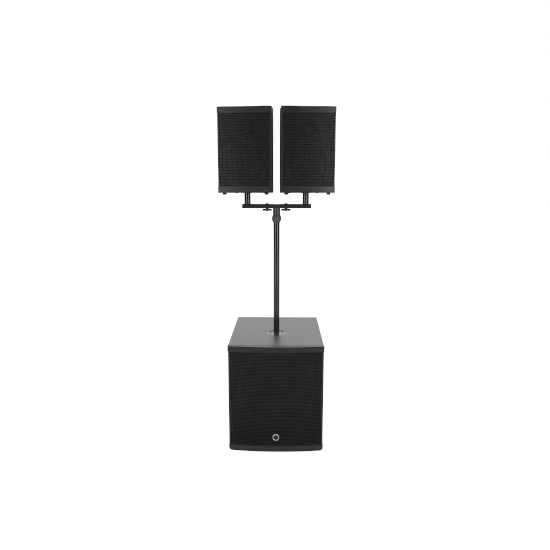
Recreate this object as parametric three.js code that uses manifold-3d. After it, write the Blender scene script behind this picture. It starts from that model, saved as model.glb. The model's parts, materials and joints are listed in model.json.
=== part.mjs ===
// A stacked loudspeaker system: an active subwoofer, a telescopic pole out of its top, a two-arm
// bracket on the pole, and a two-way top on each arm. Millimetres, +Z up, the fronts face -Y, and the
// origin is on the floor under the middle of the whole object.

import * as THREE from "three";
import { mergeVertices } from "three/addons/utils/BufferGeometryUtils.js";
import Module from "manifold-3d";

const wasm = await Module();
wasm.setup();

// Driving dimensions

const GAP = 0.3; // clearance between pieces that touch
const TURNED = 24; // segments of a large turned piece
const SMALL_TURNED = 12; // segments of a small turned piece

const SUB = {
  halfWidth: 273, // cabinet side
  bottom: 10, // underside of the cabinet, on its feet
  top: 646,
  front: -300, // front edges of the cabinet's panels
  rear: 342,
  wall: 18,
  edgeRadius: 20, // long lower edges
};
const SUB_FRONT = {
  halfWidth: 275, // trims stand 2 mm proud of the sides
  cornerY: -322,
  bow: 20, // the front is an arc this much deeper in the middle
  topTrim: 31,
  bottomTrim: 36, // from the cabinet's underside to the grille
  bottomRise: 2.5, // the lower trim's own underside is this much higher
  grilleStep: 4, // grille behind the trims' face
  sheet: 1.5,
};
const BAFFLE = { front: -268, thickness: 18 };
const PORT = { top: 103, shelfRear: 100, braceWidth: 18 };
const BADGE = { radius: 20, thickness: 2.7, z: 100 };
const FOOT = { radius: 21, x: 225, y: 262 };
const HANDLE = {
  width: 184,
  height: 104,
  depth: 48,
  shell: 3,
  y: 40,
  z: 410,
  barRadius: 10,
  barDrop: 30, // bar's axis below the dish's upper edge
  flange: 12,
  flangeThickness: 1.8,
};

const AMP = { halfWidth: 160, halfHeight: 200, z: 390, recess: 16, plate: 3 };
const AMP_LEDGE = 15; // the plate rests this far in over the opening
const KNOBS = { radius: 12, z: -30, levelX: -105, crossoverX: -45 };
const SOCKETS = { inputX: 35, outputX: 105, inputZ: -30, outputZ: -30, secondOutputZ: -100 };
const INLET = { x: -80, z: -120, halfWidth: 25, halfHeight: 31 };
const ROCKER = { radius: 10.2, halfWidth: 6.2, pivotY: 325.5, offset: 14 };

const POLE_Y = -47; // pole axis, behind the front
const POLE = {
  outerRadius: 17.5, // standard 35 mm pole
  outerWall: 2.2,
  innerRadius: 15,
  socketFloor: 566,
  outerTop: 1352,
  collarBottom: 1330,
  collarTop: 1376,
  innerBottom: 880,
};
const FLANGE = { radius: 60, thickness: 3, barrelRadius: 22 };

const BAR = {
  bottom: 1415.5,
  top: 1438,
  halfLength: 203.5,
  halfDepth: 25,
  wall: 3,
  innerHalfLength: 72, // middle bar inside the two arms
  boltX: 56,
  slide: 45, // the arms pull out this far
};
const SLEEVE = { radius: 21, bore: 18, bottom: 1376.4 };
const STUB = { x: 173, radius: 17.5, bore: 15, insertion: 85 };
const WING = { top: 1410, bottom: 1399, halfSpan: 27, halfThickness: 3, neckRadius: 10 };

const TOP = {
  bottom: 1505,
  height: 477,
  toeOut: 4.8, // degrees, each top turned outwards
  halfWidth: 154,
  front: -90, // front edges of the cabinet's panels, from the stub axis
  taperStart: 0,
  rear: 170,
  rearHalfWidth: 117,
  rearCorner: 20,
  wall: 15,
};
const TOP_FRONT = {
  halfWidth: 154.5,
  cornerY: -101,
  bow: 11,
  topTrim: 32,
  bottomTrim: 34,
  chamfer: 6,
  boardFront: -84,
  boardThickness: 16,
  grilleStep: 2,
  sheet: 1.2,
};
const HORN = { z: 366, flangeRadius: 67, mouthRadius: 58, throatRadius: 12.7, depth: 60 };
const CUP = { radius: 21, bore: 18, depth: 93, flangeRadius: 35, flange: 2.5 };
const REAR_PLATE = { halfWidth: 60, halfHeight: 45, z: 190, thickness: 2.5, socketX: 26 };

// Of the drivers, all depths are measured behind the plane that the driver is screwed to.
const SUB_DRIVER = {
  z: 374.5,
  flangeRadius: 229,
  holeRadius: 212,
  flange: 8,
  lip: 18,
  depth: 116,
  neckRadius: 108,
  wall: 6,
  coneRadius: 188,
  coneDepth: 66,
  coilRadius: 50,
  coilEnd: 142,
  capRadius: 68,
  capHeight: 26,
  paper: 2,
  windows: 8,
  magnetRadius: 110,
  magnet: 52,
  segments: TURNED,
};
const TOP_DRIVER = {
  z: 163,
  flangeRadius: 128,
  holeRadius: 116,
  flange: 6,
  lip: 10,
  depth: 64,
  neckRadius: 58,
  wall: 4.5,
  coneRadius: 98,
  coneDepth: 36,
  coilRadius: 25,
  coilEnd: 86,
  capRadius: 34,
  capHeight: 14,
  paper: 1.6,
  windows: 6,
  magnetRadius: 60,
  magnet: 38,
  segments: 18,
};

// Colour, roughness and metalness of each finish.
const FINISHES = {
  texturedPaint: [0x202122, 0.85, 0],
  blackTrim: [0x26282a, 0.55, 0],
  grille: [0x1b1c1e, 0.6, 0.6],
  badge: [0xc9ccd0, 0.35, 0.8],
  birch: [0x2b2723, 0.9, 0],
  castFrame: [0x242527, 0.5, 0.7],
  magnet: [0x303234, 0.4, 0.9],
  cloth: [0x141414, 0.95, 0],
  paper: [0x191a1b, 0.9, 0],
  horn: [0x161718, 0.45, 0],
  plate: [0x1f2123, 0.6, 0.4],
  aluminium: [0x54585c, 0.4, 1],
  connector: [0x17181a, 0.4, 0],
  board: [0x1d3a2a, 0.7, 0],
  rubber: [0x151515, 0.95, 0],
  tube: [0x202225, 0.35, 0.7],
  collar: [0x3a3c3f, 0.6, 0],
  zinc: [0x2f3133, 0.4, 0.9],
};

// Solids

function finish(kind) {
  const [color, roughness, metalness] = FINISHES[kind];
  return new THREE.MeshStandardMaterial({ color, roughness, metalness });
}

// A closed solid from a three.js geometry, with shared vertices merged and its faces pointing out.
function solid(geometry) {
  const plain = geometry.clone();
  plain.deleteAttribute("normal");
  plain.deleteAttribute("uv");
  const merged = mergeVertices(plain, 1e-4);
  const position = merged.attributes.position.array;
  const index = merged.index.array;
  const triangles = [];
  let volume = 0;
  for (let i = 0; i < index.length; i += 3) {
    const [a, b, c] = [index[i], index[i + 1], index[i + 2]];
    if (a === b || b === c || c === a) continue;
    triangles.push(a, b, c);
    const [p, q, r] = [a, b, c].map((v) => new THREE.Vector3().fromArray(position, 3 * v));
    volume += p.dot(q.cross(r));
  }
  if (volume < 0) triangles.reverse();
  return new wasm.Manifold(
    new wasm.Mesh({
      numProp: 3,
      vertProperties: new Float32Array(position),
      triVerts: new Uint32Array(triangles),
    }),
  );
}

function piece(name, shape, kind) {
  const { vertProperties, triVerts } = shape.getMesh();
  const geometry = new THREE.BufferGeometry();
  geometry.setAttribute("position", new THREE.BufferAttribute(vertProperties, 3));
  geometry.setIndex(new THREE.BufferAttribute(triVerts, 1));
  const mesh = new THREE.Mesh(geometry, finish(kind));
  mesh.name = name;
  return mesh;
}

function block([x0, x1], [y0, y1], [z0, z1]) {
  const geometry = new THREE.BoxGeometry(x1 - x0, y1 - y0, z1 - z0);
  geometry.translate((x0 + x1) / 2, (y0 + y1) / 2, (z0 + z1) / 2);
  return solid(geometry);
}

function extrusion(shape, depth, curveSegments) {
  return new THREE.ExtrudeGeometry(shape, { depth, bevelEnabled: false, curveSegments });
}

// Outline in X and Y, extruded from z0 to z1.
function prism(shape, z0, z1, curveSegments = 6) {
  const geometry = extrusion(shape, z1 - z0, curveSegments);
  geometry.translate(0, 0, z0);
  return solid(geometry);
}

// Outline in X and Z, extruded from y0 to y1.
function frontalPrism(shape, y0, y1, curveSegments = 6) {
  const geometry = extrusion(shape, y1 - y0, curveSegments);
  geometry.rotateX(Math.PI / 2);
  geometry.translate(0, y1, 0);
  return solid(geometry);
}

// Outline in Y and Z, extruded from x0 to x1.
function lateralPrism(shape, x0, x1, curveSegments = 6) {
  const geometry = extrusion(shape, x1 - x0, curveSegments);
  geometry.applyMatrix4(new THREE.Matrix4().set(0, 0, 1, x0, 1, 0, 0, 0, 0, 1, 0, 0, 0, 0, 0, 1));
  return solid(geometry);
}

// Profile of [radius, distance along the axis] points. It starts and ends on the axis, or is closed.
function turned(points, axis, segments = TURNED) {
  const profile = points.map(([r, along]) => new THREE.Vector2(r, along));
  if (points[0][0] > 0) profile.push(profile[0].clone());
  const geometry = new THREE.LatheGeometry(profile, segments);
  if (axis === "z") geometry.rotateX(Math.PI / 2);
  return solid(geometry);
}

function rod(radius, from, to, axis, segments = SMALL_TURNED) {
  return turned([[0, from], [radius, from], [radius, to], [0, to]], axis, segments);
}

function ring(radius, bore, from, to, axis, segments = TURNED) {
  return turned([[bore, from], [radius, from], [radius, to], [bore, to]], axis, segments);
}

function polygon(points) {
  return new THREE.Shape(points.map(([a, b]) => new THREE.Vector2(a, b)));
}

// Adds the arc from (-halfWidth, cornerY) to (halfWidth, cornerY) that stands out towards -Y, or runs it
// backwards.
function addBow(shape, halfWidth, cornerY, bow, backwards = false) {
  const radius = (halfWidth ** 2 + bow ** 2) / (2 * bow);
  const centre = cornerY - bow + radius;
  const left = Math.atan2(cornerY - centre, -halfWidth);
  const right = Math.atan2(cornerY - centre, halfWidth);
  shape.lineTo(backwards ? halfWidth : -halfWidth, cornerY);
  if (backwards) shape.absarc(0, centre, radius, right, left, true);
  else shape.absarc(0, centre, radius, left, right, false);
}

// Outline in X and Z whose two lower corners are round.
function roundedBelow(halfWidth, bottom, top, radius) {
  const shape = new THREE.Shape();
  shape.moveTo(-halfWidth, top);
  shape.lineTo(-halfWidth, bottom + radius);
  shape.absarc(-halfWidth + radius, bottom + radius, radius, Math.PI, 1.5 * Math.PI, false);
  shape.absarc(halfWidth - radius, bottom + radius, radius, 1.5 * Math.PI, 2 * Math.PI, false);
  shape.lineTo(halfWidth, top);
  return shape;
}

// A bar with a straight back and a bowed front.
function bowedBar(halfWidth, cornerY, bow, backY) {
  const shape = new THREE.Shape();
  shape.moveTo(-halfWidth, backY);
  addBow(shape, halfWidth, cornerY, bow);
  shape.lineTo(halfWidth, backY);
  return shape;
}

// A bent sheet: the bow, and a return along each side.
function bowedSheet(halfWidth, cornerY, bow, backY, sheet) {
  const shape = new THREE.Shape();
  shape.moveTo(-halfWidth, backY);
  addBow(shape, halfWidth, cornerY, bow);
  shape.lineTo(halfWidth, backY);
  shape.lineTo(halfWidth - sheet, backY);
  addBow(shape, halfWidth - sheet, cornerY + sheet, bow, true);
  shape.lineTo(-halfWidth + sheet, backY);
  return shape;
}

// Drivers, each turned about its own axis, which is parallel to Y

function basket(d) {
  const outer = d.holeRadius - 1;
  const inner = outer - d.wall;
  let frame = turned(
    [
      [d.flangeRadius, -d.flange],
      [d.flangeRadius, -GAP],
      [outer, -GAP],
      [outer, d.lip],
      [d.neckRadius + d.wall, d.depth - 12],
      [d.neckRadius + d.wall, d.depth],
      [d.coilRadius + 6, d.depth],
      [d.coilRadius + 6, d.depth - d.wall],
      [d.neckRadius, d.depth - d.wall],
      [d.neckRadius, d.depth - 15],
      [inner, d.lip - 3],
      [inner, -d.flange],
    ],
    "y",
    d.segments,
  );
  const halfAngle = (Math.PI / d.windows) * 0.78;
  const reach = d.holeRadius + 5;
  const start = d.neckRadius - 5;
  for (let i = 0; i < d.windows; i++) {
    const corners = [[start, -1], [reach, -1], [reach, 1], [start, 1]];
    const middle = (2 * Math.PI * (i + 0.5)) / d.windows;
    const window = polygon(
      corners.map(([r, side]) => {
        const angle = middle + side * halfAngle;
        return [r * Math.cos(angle), r * Math.sin(angle)];
      }),
    );
    frame = frame.subtract(frontalPrism(window, d.lip + 4, d.depth - 17));
  }
  return frame;
}

// Top plate, ferrite ring and vented back plate, with the annular gap that the coil moves in.
function magnet(d) {
  const start = d.depth + GAP;
  const plate = 0.19 * d.magnet;
  const end = start + d.magnet;
  const plateRadius = d.magnetRadius - 8;
  return turned(
    [
      [d.coilRadius + 2.5, start],
      [plateRadius, start],
      [plateRadius, start + plate],
      [d.magnetRadius, start + plate],
      [d.magnetRadius, end - plate],
      [plateRadius, end - plate],
      [plateRadius, end],
      [d.coilRadius * 0.3, end],
      [d.coilRadius * 0.3, start],
      [d.coilRadius - 4, start],
      [d.coilRadius - 4, end - plate],
      [d.coilRadius + 2.5, end - plate],
    ],
    "y",
    d.segments,
  );
}

// Paper cone with its dust cap in front and the coil former behind, open at the former's end.
function cone(d) {
  const edge = 2;
  const neck = d.coilRadius;
  const surface = (r) => edge + ((d.coneDepth - edge) * (d.coneRadius - r)) / (d.coneRadius - neck);
  const base = surface(d.capRadius);
  const under = d.capRadius - 2 * d.paper;
  const dome = (radius, height) =>
    [0, 30, 60].map((degrees) => {
      const angle = THREE.MathUtils.degToRad(degrees);
      return [radius * Math.sin(angle), base - height * Math.cos(angle)];
    });
  return turned(
    [
      ...dome(d.capRadius, d.capHeight),
      [d.capRadius, base],
      [d.coneRadius, edge],
      [d.coneRadius, edge + d.paper],
      [neck, surface(neck) + d.paper],
      [neck, d.coilEnd],
      [neck - 1.5, d.coilEnd],
      [neck - 1.5, surface(neck)],
      [under, surface(under)],
      ...dome(under, d.capHeight - d.paper).reverse(),
    ],
    "y",
    d.segments,
  );
}

// Half-round roll between the cone's edge and the frame.
function surround(d) {
  const inner = d.coneRadius + GAP;
  const outer = d.holeRadius - 1 - d.wall - GAP;
  const middle = (inner + outer) / 2;
  const roll = (outer - inner) / 2;
  const arc = (radius) =>
    [0, 60, 120, 180].map((degrees) => {
      const angle = THREE.MathUtils.degToRad(degrees);
      return [middle + radius * Math.cos(angle), -radius * Math.sin(angle)];
    });
  return turned([...arc(roll), ...arc(roll - d.paper).reverse()], "y", d.segments);
}

// Subwoofer

function subCabinet() {
  const { halfWidth, bottom, top, front, rear, wall, edgeRadius } = SUB;
  const outline = roundedBelow(halfWidth, bottom, top, edgeRadius);
  const inside = block(
    [-halfWidth + wall, halfWidth - wall],
    [front - 1, rear - wall],
    [bottom + wall, top - wall],
  );
  const battens = block(
    [-AMP.halfWidth - 20, AMP.halfWidth + 20],
    [rear - 2 * wall, rear - 1],
    [AMP.z - AMP.halfHeight - 20, AMP.z + AMP.halfHeight + 20],
  );
  const ampRecess = block(
    [-AMP.halfWidth - 2 * GAP, AMP.halfWidth + 2 * GAP],
    [rear - AMP.recess, rear + 1],
    [AMP.z - AMP.halfHeight - 2 * GAP, AMP.z + AMP.halfHeight + 2 * GAP],
  );
  const ampOpening = block(
    [-AMP.halfWidth + AMP_LEDGE, AMP.halfWidth - AMP_LEDGE],
    [rear - 2 * wall - 1, rear],
    [AMP.z - AMP.halfHeight + AMP_LEDGE, AMP.z + AMP.halfHeight - AMP_LEDGE],
  );
  const poleHole = rod(FLANGE.barrelRadius + 2 * GAP, top - wall - 1, top + 1, "z", TURNED);
  const poleRecess = rod(FLANGE.radius + 2 * GAP, top - FLANGE.thickness - GAP, top + 1, "z", TURNED);
  let shell = frontalPrism(outline, front, rear, 3).subtract(inside).add(battens);
  shell = shell.subtract(ampRecess).subtract(ampOpening);
  for (const hole of [poleHole, poleRecess]) shell = shell.subtract(hole.translate(0, POLE_Y, 0));
  for (const side of [-1, 1]) {
    const reach = [side * (halfWidth - wall - 1), side * (halfWidth + 1)].sort((a, b) => a - b);
    const halfHeight = HANDLE.height / 2 + GAP;
    shell = shell.subtract(
      block(
        reach,
        [HANDLE.y - HANDLE.width / 2 - GAP, HANDLE.y + HANDLE.width / 2 + GAP],
        [HANDLE.z - halfHeight, HANDLE.z + halfHeight],
      ),
    );
  }
  return shell;
}

function subBaffle() {
  const halfWidth = SUB.halfWidth - SUB.wall - GAP;
  const { front, thickness } = BAFFLE;
  const board = block(
    [-halfWidth, halfWidth],
    [front, front + thickness],
    [PORT.top + SUB.wall + GAP, SUB.top - SUB.wall - GAP],
  );
  const hole = rod(SUB_DRIVER.holeRadius, front - 1, front + thickness + 1, "y", TURNED);
  return board.subtract(hole.translate(0, 0, SUB_DRIVER.z));
}

// Board over the slot port, with the brace that stands in the middle of the slot.
function portShelf() {
  const halfWidth = SUB.halfWidth - SUB.wall - GAP;
  const run = [BAFFLE.front, PORT.shelfRear];
  const shelf = block([-halfWidth, halfWidth], run, [PORT.top, PORT.top + SUB.wall]);
  const brace = block(
    [-PORT.braceWidth / 2, PORT.braceWidth / 2],
    [BAFFLE.front + 30, PORT.shelfRear],
    [SUB.bottom + SUB.wall + GAP, PORT.top + 1],
  );
  return shelf.add(brace);
}

function subTrim(z0, z1) {
  const { halfWidth, cornerY, bow } = SUB_FRONT;
  return prism(bowedBar(halfWidth, cornerY, bow, SUB.front - GAP), z0, z1);
}

function subBottomTrim() {
  const { halfWidth, bottomTrim, bottomRise, cornerY, bow } = SUB_FRONT;
  const low = SUB.bottom + bottomRise;
  const high = SUB.bottom + bottomTrim;
  const outline = roundedBelow(halfWidth, low, high, SUB.edgeRadius);
  const rounded = frontalPrism(outline, cornerY - bow - 1, SUB.front, 3);
  return subTrim(low, high).intersect(rounded);
}

function subGrille() {
  const { halfWidth, cornerY, bow, topTrim, bottomTrim, grilleStep, sheet } = SUB_FRONT;
  const shape = bowedSheet(halfWidth - 2, cornerY + grilleStep, bow, SUB.front - GAP, sheet);
  return prism(shape, SUB.bottom + bottomTrim + GAP, SUB.top - topTrim - GAP);
}

function badge() {
  const face = SUB_FRONT.cornerY + SUB_FRONT.grilleStep - SUB_FRONT.bow - GAP;
  const { radius, thickness } = BADGE;
  const edge = face - thickness;
  return turned([[0, face], [radius, face], [radius, edge + 1], [radius - 1, edge], [0, edge]], "y", 24)
    .translate(0, 0, BADGE.z);
}

function foot() {
  const top = SUB.bottom - GAP;
  return turned([[0, 0], [FOOT.radius - 3, 0], [FOOT.radius, 3], [FOOT.radius, top], [0, top]], "z", 20);
}

function poleFlange() {
  const { radius, thickness, barrelRadius } = FLANGE;
  const bore = POLE.outerRadius + 0.4;
  const floor = POLE.socketFloor - GAP;
  return turned(
    [
      [0, floor - 5],
      [barrelRadius, floor - 5],
      [barrelRadius, SUB.top - thickness],
      [radius, SUB.top - thickness],
      [radius, SUB.top - 1],
      [radius - 1, SUB.top],
      [bore, SUB.top],
      [bore, floor],
      [0, floor],
    ],
    "z",
  );
}

// Recessed handle on the +X side: a dish with a thin outer flange, and a round bar across it.
function handle() {
  const { width, height, depth, shell, barRadius, barDrop, flange, flangeThickness } = HANDLE;
  const face = SUB.halfWidth;
  const halfWidth = width / 2 - GAP;
  const halfHeight = height / 2 - GAP;
  const layer = ([x0, x1], inset) =>
    block([x0, x1], [-halfWidth + inset, halfWidth - inset], [-halfHeight + inset, halfHeight - inset]);
  const dish = layer([face - depth, face + 1], 0);
  const hollow = layer([face - depth + shell, face + 3], shell);
  const rim = layer([face + GAP, face + flangeThickness], -flange);
  const bar = rod(barRadius, -halfWidth + 1, halfWidth - 1, "y");
  return dish
    .add(rim)
    .subtract(hollow)
    .add(bar.translate(face - barRadius - 1, 0, height / 2 - barDrop));
}

// Amplifier

function ampPlate() {
  const { halfWidth, halfHeight, plate, recess } = AMP;
  const y0 = SUB.rear - recess + GAP;
  const y1 = y0 + plate;
  let sheet = block([-halfWidth, halfWidth], [y0, y1], [-halfHeight, halfHeight]);
  const bore = (radius, x, z) => rod(radius, y0 - 1, y1 + 1, "y").translate(x, 0, z);
  for (const [x, z] of socketPlaces()) sheet = sheet.subtract(bore(12.3, x, z));
  for (const x of [KNOBS.levelX, KNOBS.crossoverX]) sheet = sheet.subtract(bore(3.6, x, KNOBS.z));
  return sheet.subtract(
    block(
      [INLET.x - INLET.halfWidth + 1.5, INLET.x + INLET.halfWidth - 1.5],
      [y0 - 1, y1 + 1],
      [INLET.z - INLET.halfHeight + 1.5, INLET.z + INLET.halfHeight - 1.5],
    ),
  );
}

// Outer face of the amplifier plate.
const PLATE_FACE = SUB.rear - AMP.recess + GAP + AMP.plate + GAP;

function socketPlaces() {
  return [
    [SOCKETS.inputX, SOCKETS.inputZ],
    [SOCKETS.outputX, SOCKETS.outputZ],
    [SOCKETS.outputX, SOCKETS.secondOutputZ],
  ];
}

// Flanged chassis socket, open towards +Y.
function socket(bore) {
  const flange = block([-13, 13], [PLATE_FACE, PLATE_FACE + 2], [-15.5, 15.5]);
  const barrel = rod(11.8, PLATE_FACE - 20, PLATE_FACE + 4.5, "y", 16);
  return flange.add(barrel).subtract(rod(bore, PLATE_FACE - 12, PLATE_FACE + 5, "y", 16));
}

function mainsInlet() {
  const { halfWidth, halfHeight } = INLET;
  const face = PLATE_FACE + 2.2;
  const body = [halfWidth - 2, halfHeight - 2];
  const flange = block([-halfWidth, halfWidth], [PLATE_FACE, face], [-halfHeight, halfHeight]);
  const housing = block([-body[0], body[0]], [PLATE_FACE - 22, face], [-body[1], body[1]]);
  const mouth = [[-12.2, -24], [12.2, -24], [12.2, -11], [8, -7], [-8, -7], [-12.2, -11]];
  const inlet = frontalPrism(polygon(mouth), face - 18, face + 1);
  const rockerWell = block(
    [-ROCKER.halfWidth - 0.5, ROCKER.halfWidth + 0.5],
    [ROCKER.pivotY - 8, face + 1],
    [ROCKER.offset - 11, ROCKER.offset + 11],
  );
  return flange.add(housing).subtract(inlet).subtract(rockerWell);
}

// Rocker of the mains switch about its own pivot, with its lower end pressed in.
function rocker() {
  const { radius, halfWidth } = ROCKER;
  const at = (degrees) => {
    const angle = THREE.MathUtils.degToRad(degrees);
    return [radius * Math.cos(angle), radius * Math.sin(angle)];
  };
  const outline = [[5.2, 0], at(40), at(60), at(80), [-3, 5], [-3, -5], at(-80), at(-60), at(-40)];
  const mesh = lateralPrism(polygon(outline), -halfWidth, halfWidth);
  return mesh.rotate(-8, 0, 0);
}

// Round knob with a flat pointer rib and a shaft behind it.
function knob() {
  const back = PLATE_FACE + 0.6;
  const front = SUB.rear - 0.6;
  const { radius } = KNOBS;
  const profile = [
    [0, back - 18],
    [3, back - 18],
    [3, back],
    [radius, back],
    [radius - 1, front - 1],
    [radius - 2, front],
    [0, front],
  ];
  const groove = block([-0.8, 0.8], [front - 1, front + 1], [3, radius + 1]);
  return turned(profile, "y", 20).subtract(groove);
}

function heatSink() {
  const fins = 13;
  const pitch = 18;
  const half = ((fins - 1) * pitch) / 2 + 1.5;
  const root = PLATE_FACE + 3.5;
  const outline = new THREE.Shape();
  outline.moveTo(-half, PLATE_FACE);
  outline.lineTo(half, PLATE_FACE);
  for (let i = fins - 1; i >= 0; i--) {
    const x = (i - (fins - 1) / 2) * pitch;
    outline.lineTo(x + 1.5, root);
    outline.lineTo(x + 1.2, SUB.rear - 0.5);
    outline.lineTo(x - 1.2, SUB.rear - 0.5);
    outline.lineTo(x - 1.5, root);
  }
  return prism(outline, 20, 175);
}

// Circuit board with a toroidal transformer, a capacitor bank and a shielded power stage.
function ampModule() {
  const face = SUB.rear - 2 * SUB.wall - 3;
  const board = block([-135, 135], [face - 3, face], [-170, 170]);
  const transformer = rod(55, face - 65, face - 2, "y", TURNED).translate(60, 0, 90);
  const powerStage = block([-120, -20], [face - 60, face - 2], [20, 160]);
  const capacitors = [0, 1, 2].map((i) =>
    rod(16, face - 50, face - 2, "y").translate(-100 + 38 * i, 0, -60),
  );
  return [transformer, powerStage, ...capacitors].reduce((whole, part) => whole.add(part), board);
}

function subwoofer() {
  const group = new THREE.Group();
  group.add(piece("sub_cabinet", subCabinet(), "texturedPaint"));
  group.add(piece("sub_baffle", subBaffle(), "birch"));
  group.add(piece("sub_port_shelf", portShelf(), "birch"));
  group.add(piece("sub_front_trim_top", subTrim(SUB.top - SUB_FRONT.topTrim, SUB.top), "blackTrim"));
  group.add(piece("sub_front_trim_bottom", subBottomTrim(), "blackTrim"));
  group.add(piece("sub_grille", subGrille(), "grille"));
  group.add(piece("sub_badge", badge(), "badge"));
  const driver = new THREE.Group();
  driver.position.set(0, BAFFLE.front, SUB_DRIVER.z);
  driver.add(piece("sub_woofer_basket", basket(SUB_DRIVER), "castFrame"));
  driver.add(piece("sub_woofer_magnet", magnet(SUB_DRIVER), "magnet"));
  driver.add(piece("sub_woofer_surround", surround(SUB_DRIVER), "cloth"));
  driver.add(piece("sub_woofer_cone", cone(SUB_DRIVER), "paper"));
  group.add(driver);
  group.add(piece("sub_pole_flange", poleFlange().translate(0, POLE_Y, 0), "tube"));
  for (const [side, word] of [[-1, "left"], [1, "right"]]) {
    const dish = side > 0 ? handle() : handle().mirror([1, 0, 0]);
    group.add(piece(`sub_handle_${word}`, dish.translate(0, HANDLE.y, HANDLE.z), "connector"));
    for (const [end, row] of [[-1, "front"], [1, "rear"]]) {
      const pad = foot().translate(side * FOOT.x, end * FOOT.y, 0);
      group.add(piece(`sub_foot_${row}_${word}`, pad, "rubber"));
    }
  }
  group.add(amplifier());
  return group;
}

function amplifier() {
  const group = new THREE.Group();
  group.position.z = AMP.z;
  group.add(piece("sub_amp_plate", ampPlate(), "plate"));
  group.add(piece("sub_amp_heatsink", heatSink(), "aluminium"));
  group.add(piece("sub_amp_module", ampModule(), "board"));
  group.add(piece("sub_level_knob", knob().translate(KNOBS.levelX, 0, KNOBS.z), "connector"));
  group.add(piece("sub_crossover_knob", knob().translate(KNOBS.crossoverX, 0, KNOBS.z), "connector"));
  const names = ["sub_signal_input", "sub_speaker_output_left", "sub_speaker_output_right"];
  const bores = [8.5, 9.8, 9.8];
  socketPlaces().forEach(([x, z], i) => {
    group.add(piece(names[i], socket(bores[i]).translate(x, 0, z), "connector"));
  });
  const inlet = mainsInlet().translate(INLET.x, 0, INLET.z);
  const pivot = [INLET.x, ROCKER.pivotY, INLET.z + ROCKER.offset];
  group.add(piece("sub_mains_inlet", inlet, "connector"));
  group.add(piece("sub_power_switch", rocker().translate(...pivot), "connector"));
  return group;
}

// Pole

function collar() {
  const { collarBottom, collarTop, outerTop, outerRadius, innerRadius } = POLE;
  const step = outerTop + 2 * GAP;
  const body = turned(
    [
      [outerRadius + GAP, collarBottom],
      [21.5, collarBottom],
      [25, collarBottom + 14],
      [25, collarTop - 9],
      [21.5, collarTop],
      [innerRadius + GAP, collarTop],
      [innerRadius + GAP, step],
      [outerRadius + GAP, step],
    ],
    "z",
  );
  const lobes = 12;
  const steps = lobes * 4;
  const grip = polygon(
    Array.from({ length: steps }, (_, i) => {
      const angle = (2 * Math.PI * i) / steps;
      const r = 26 + Math.cos(lobes * angle);
      return [r * Math.cos(angle), r * Math.sin(angle)];
    }),
  );
  const lobed = prism(grip, collarBottom + 12, collarTop - 12);
  return body.add(lobed.subtract(rod(24, collarBottom, collarTop, "z", TURNED)));
}

// Inner tube with the 35 mm end that the bracket's sleeve sits on.
function innerTube() {
  const { innerRadius, innerBottom, collarTop, outerRadius } = POLE;
  const end = innerBarBottom() - GAP;
  return turned(
    [
      [innerRadius - 2, innerBottom],
      [innerRadius, innerBottom],
      [innerRadius, collarTop + 2],
      [outerRadius, collarTop + 2],
      [outerRadius, end - 1.5],
      [outerRadius - 1.5, end],
      [innerRadius - 2, end],
    ],
    "z",
  );
}

function pole() {
  const { outerRadius, outerWall, socketFloor, outerTop } = POLE;
  const group = new THREE.Group();
  group.position.y = POLE_Y;
  const outer = ring(outerRadius, outerRadius - outerWall, socketFloor, outerTop, "z");
  group.add(piece("pole_outer_tube", outer, "tube"));
  group.add(piece("pole_clamp_collar", collar(), "collar"));
  group.add(piece("pole_inner_tube", innerTube(), "tube"));
  return group;
}

// Bracket

// Underside of the middle bar, which lies inside the arms' channels.
function innerBarBottom() {
  return BAR.bottom + 1;
}

function centreBar() {
  const top = BAR.top - BAR.wall - GAP;
  const depth = BAR.halfDepth - BAR.wall - 1;
  let bar = block([-BAR.innerHalfLength, BAR.innerHalfLength], [-depth, depth], [innerBarBottom(), top]);
  bar = bar.add(ring(SLEEVE.radius, SLEEVE.bore, SLEEVE.bottom, innerBarBottom() + 1, "z"));
  for (const x of [-BAR.boltX, BAR.boltX]) {
    bar = bar.subtract(rod(4.4, innerBarBottom() - 1, top + 1, "z").translate(x, 0, 0));
  }
  return bar;
}

// Right arm: a channel open below, closed at its outer end, slotted over the middle bar, with a stub.
function arm() {
  const { bottom, top, halfDepth, halfLength, wall, boltX, slide } = BAR;
  const start = 2;
  const channel = polygon([
    [-halfDepth, bottom],
    [-halfDepth, top],
    [halfDepth, top],
    [halfDepth, bottom],
    [halfDepth - wall, bottom],
    [halfDepth - wall, top - wall],
    [-halfDepth + wall, top - wall],
    [-halfDepth + wall, bottom],
  ]);
  const slot = new THREE.Shape();
  slot.absarc(boltX, 0, 4.4, -Math.PI / 2, Math.PI / 2, false);
  slot.absarc(boltX - slide, 0, 4.4, Math.PI / 2, 1.5 * Math.PI, false);
  const cap = block([halfLength - wall, halfLength], [-halfDepth, halfDepth], [bottom, top]);
  const stubTop = TOP.bottom + STUB.insertion;
  const stub = turned(
    [
      [STUB.bore, top - 1],
      [STUB.radius + 2, top - 1],
      [STUB.radius + 2, top + 1.5],
      [STUB.radius, top + 3.5],
      [STUB.radius, stubTop - 2],
      [STUB.radius - 1.5, stubTop],
      [STUB.bore, stubTop],
    ],
    "z",
  ).translate(STUB.x, 0, 0);
  return lateralPrism(channel, start, halfLength)
    .add(cap)
    .add(stub)
    .subtract(prism(slot, top - wall - 1, top + 1, 4));
}

function bolt() {
  const seat = BAR.top + GAP;
  const end = WING.bottom - 1.5;
  const profile = [
    [0, end],
    [4, end],
    [4, seat],
    [10, seat],
    [10, seat + 2],
    [6, seat + 4.6],
    [0, seat + 5.4],
  ];
  return turned(profile, "z", 16);
}

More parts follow.
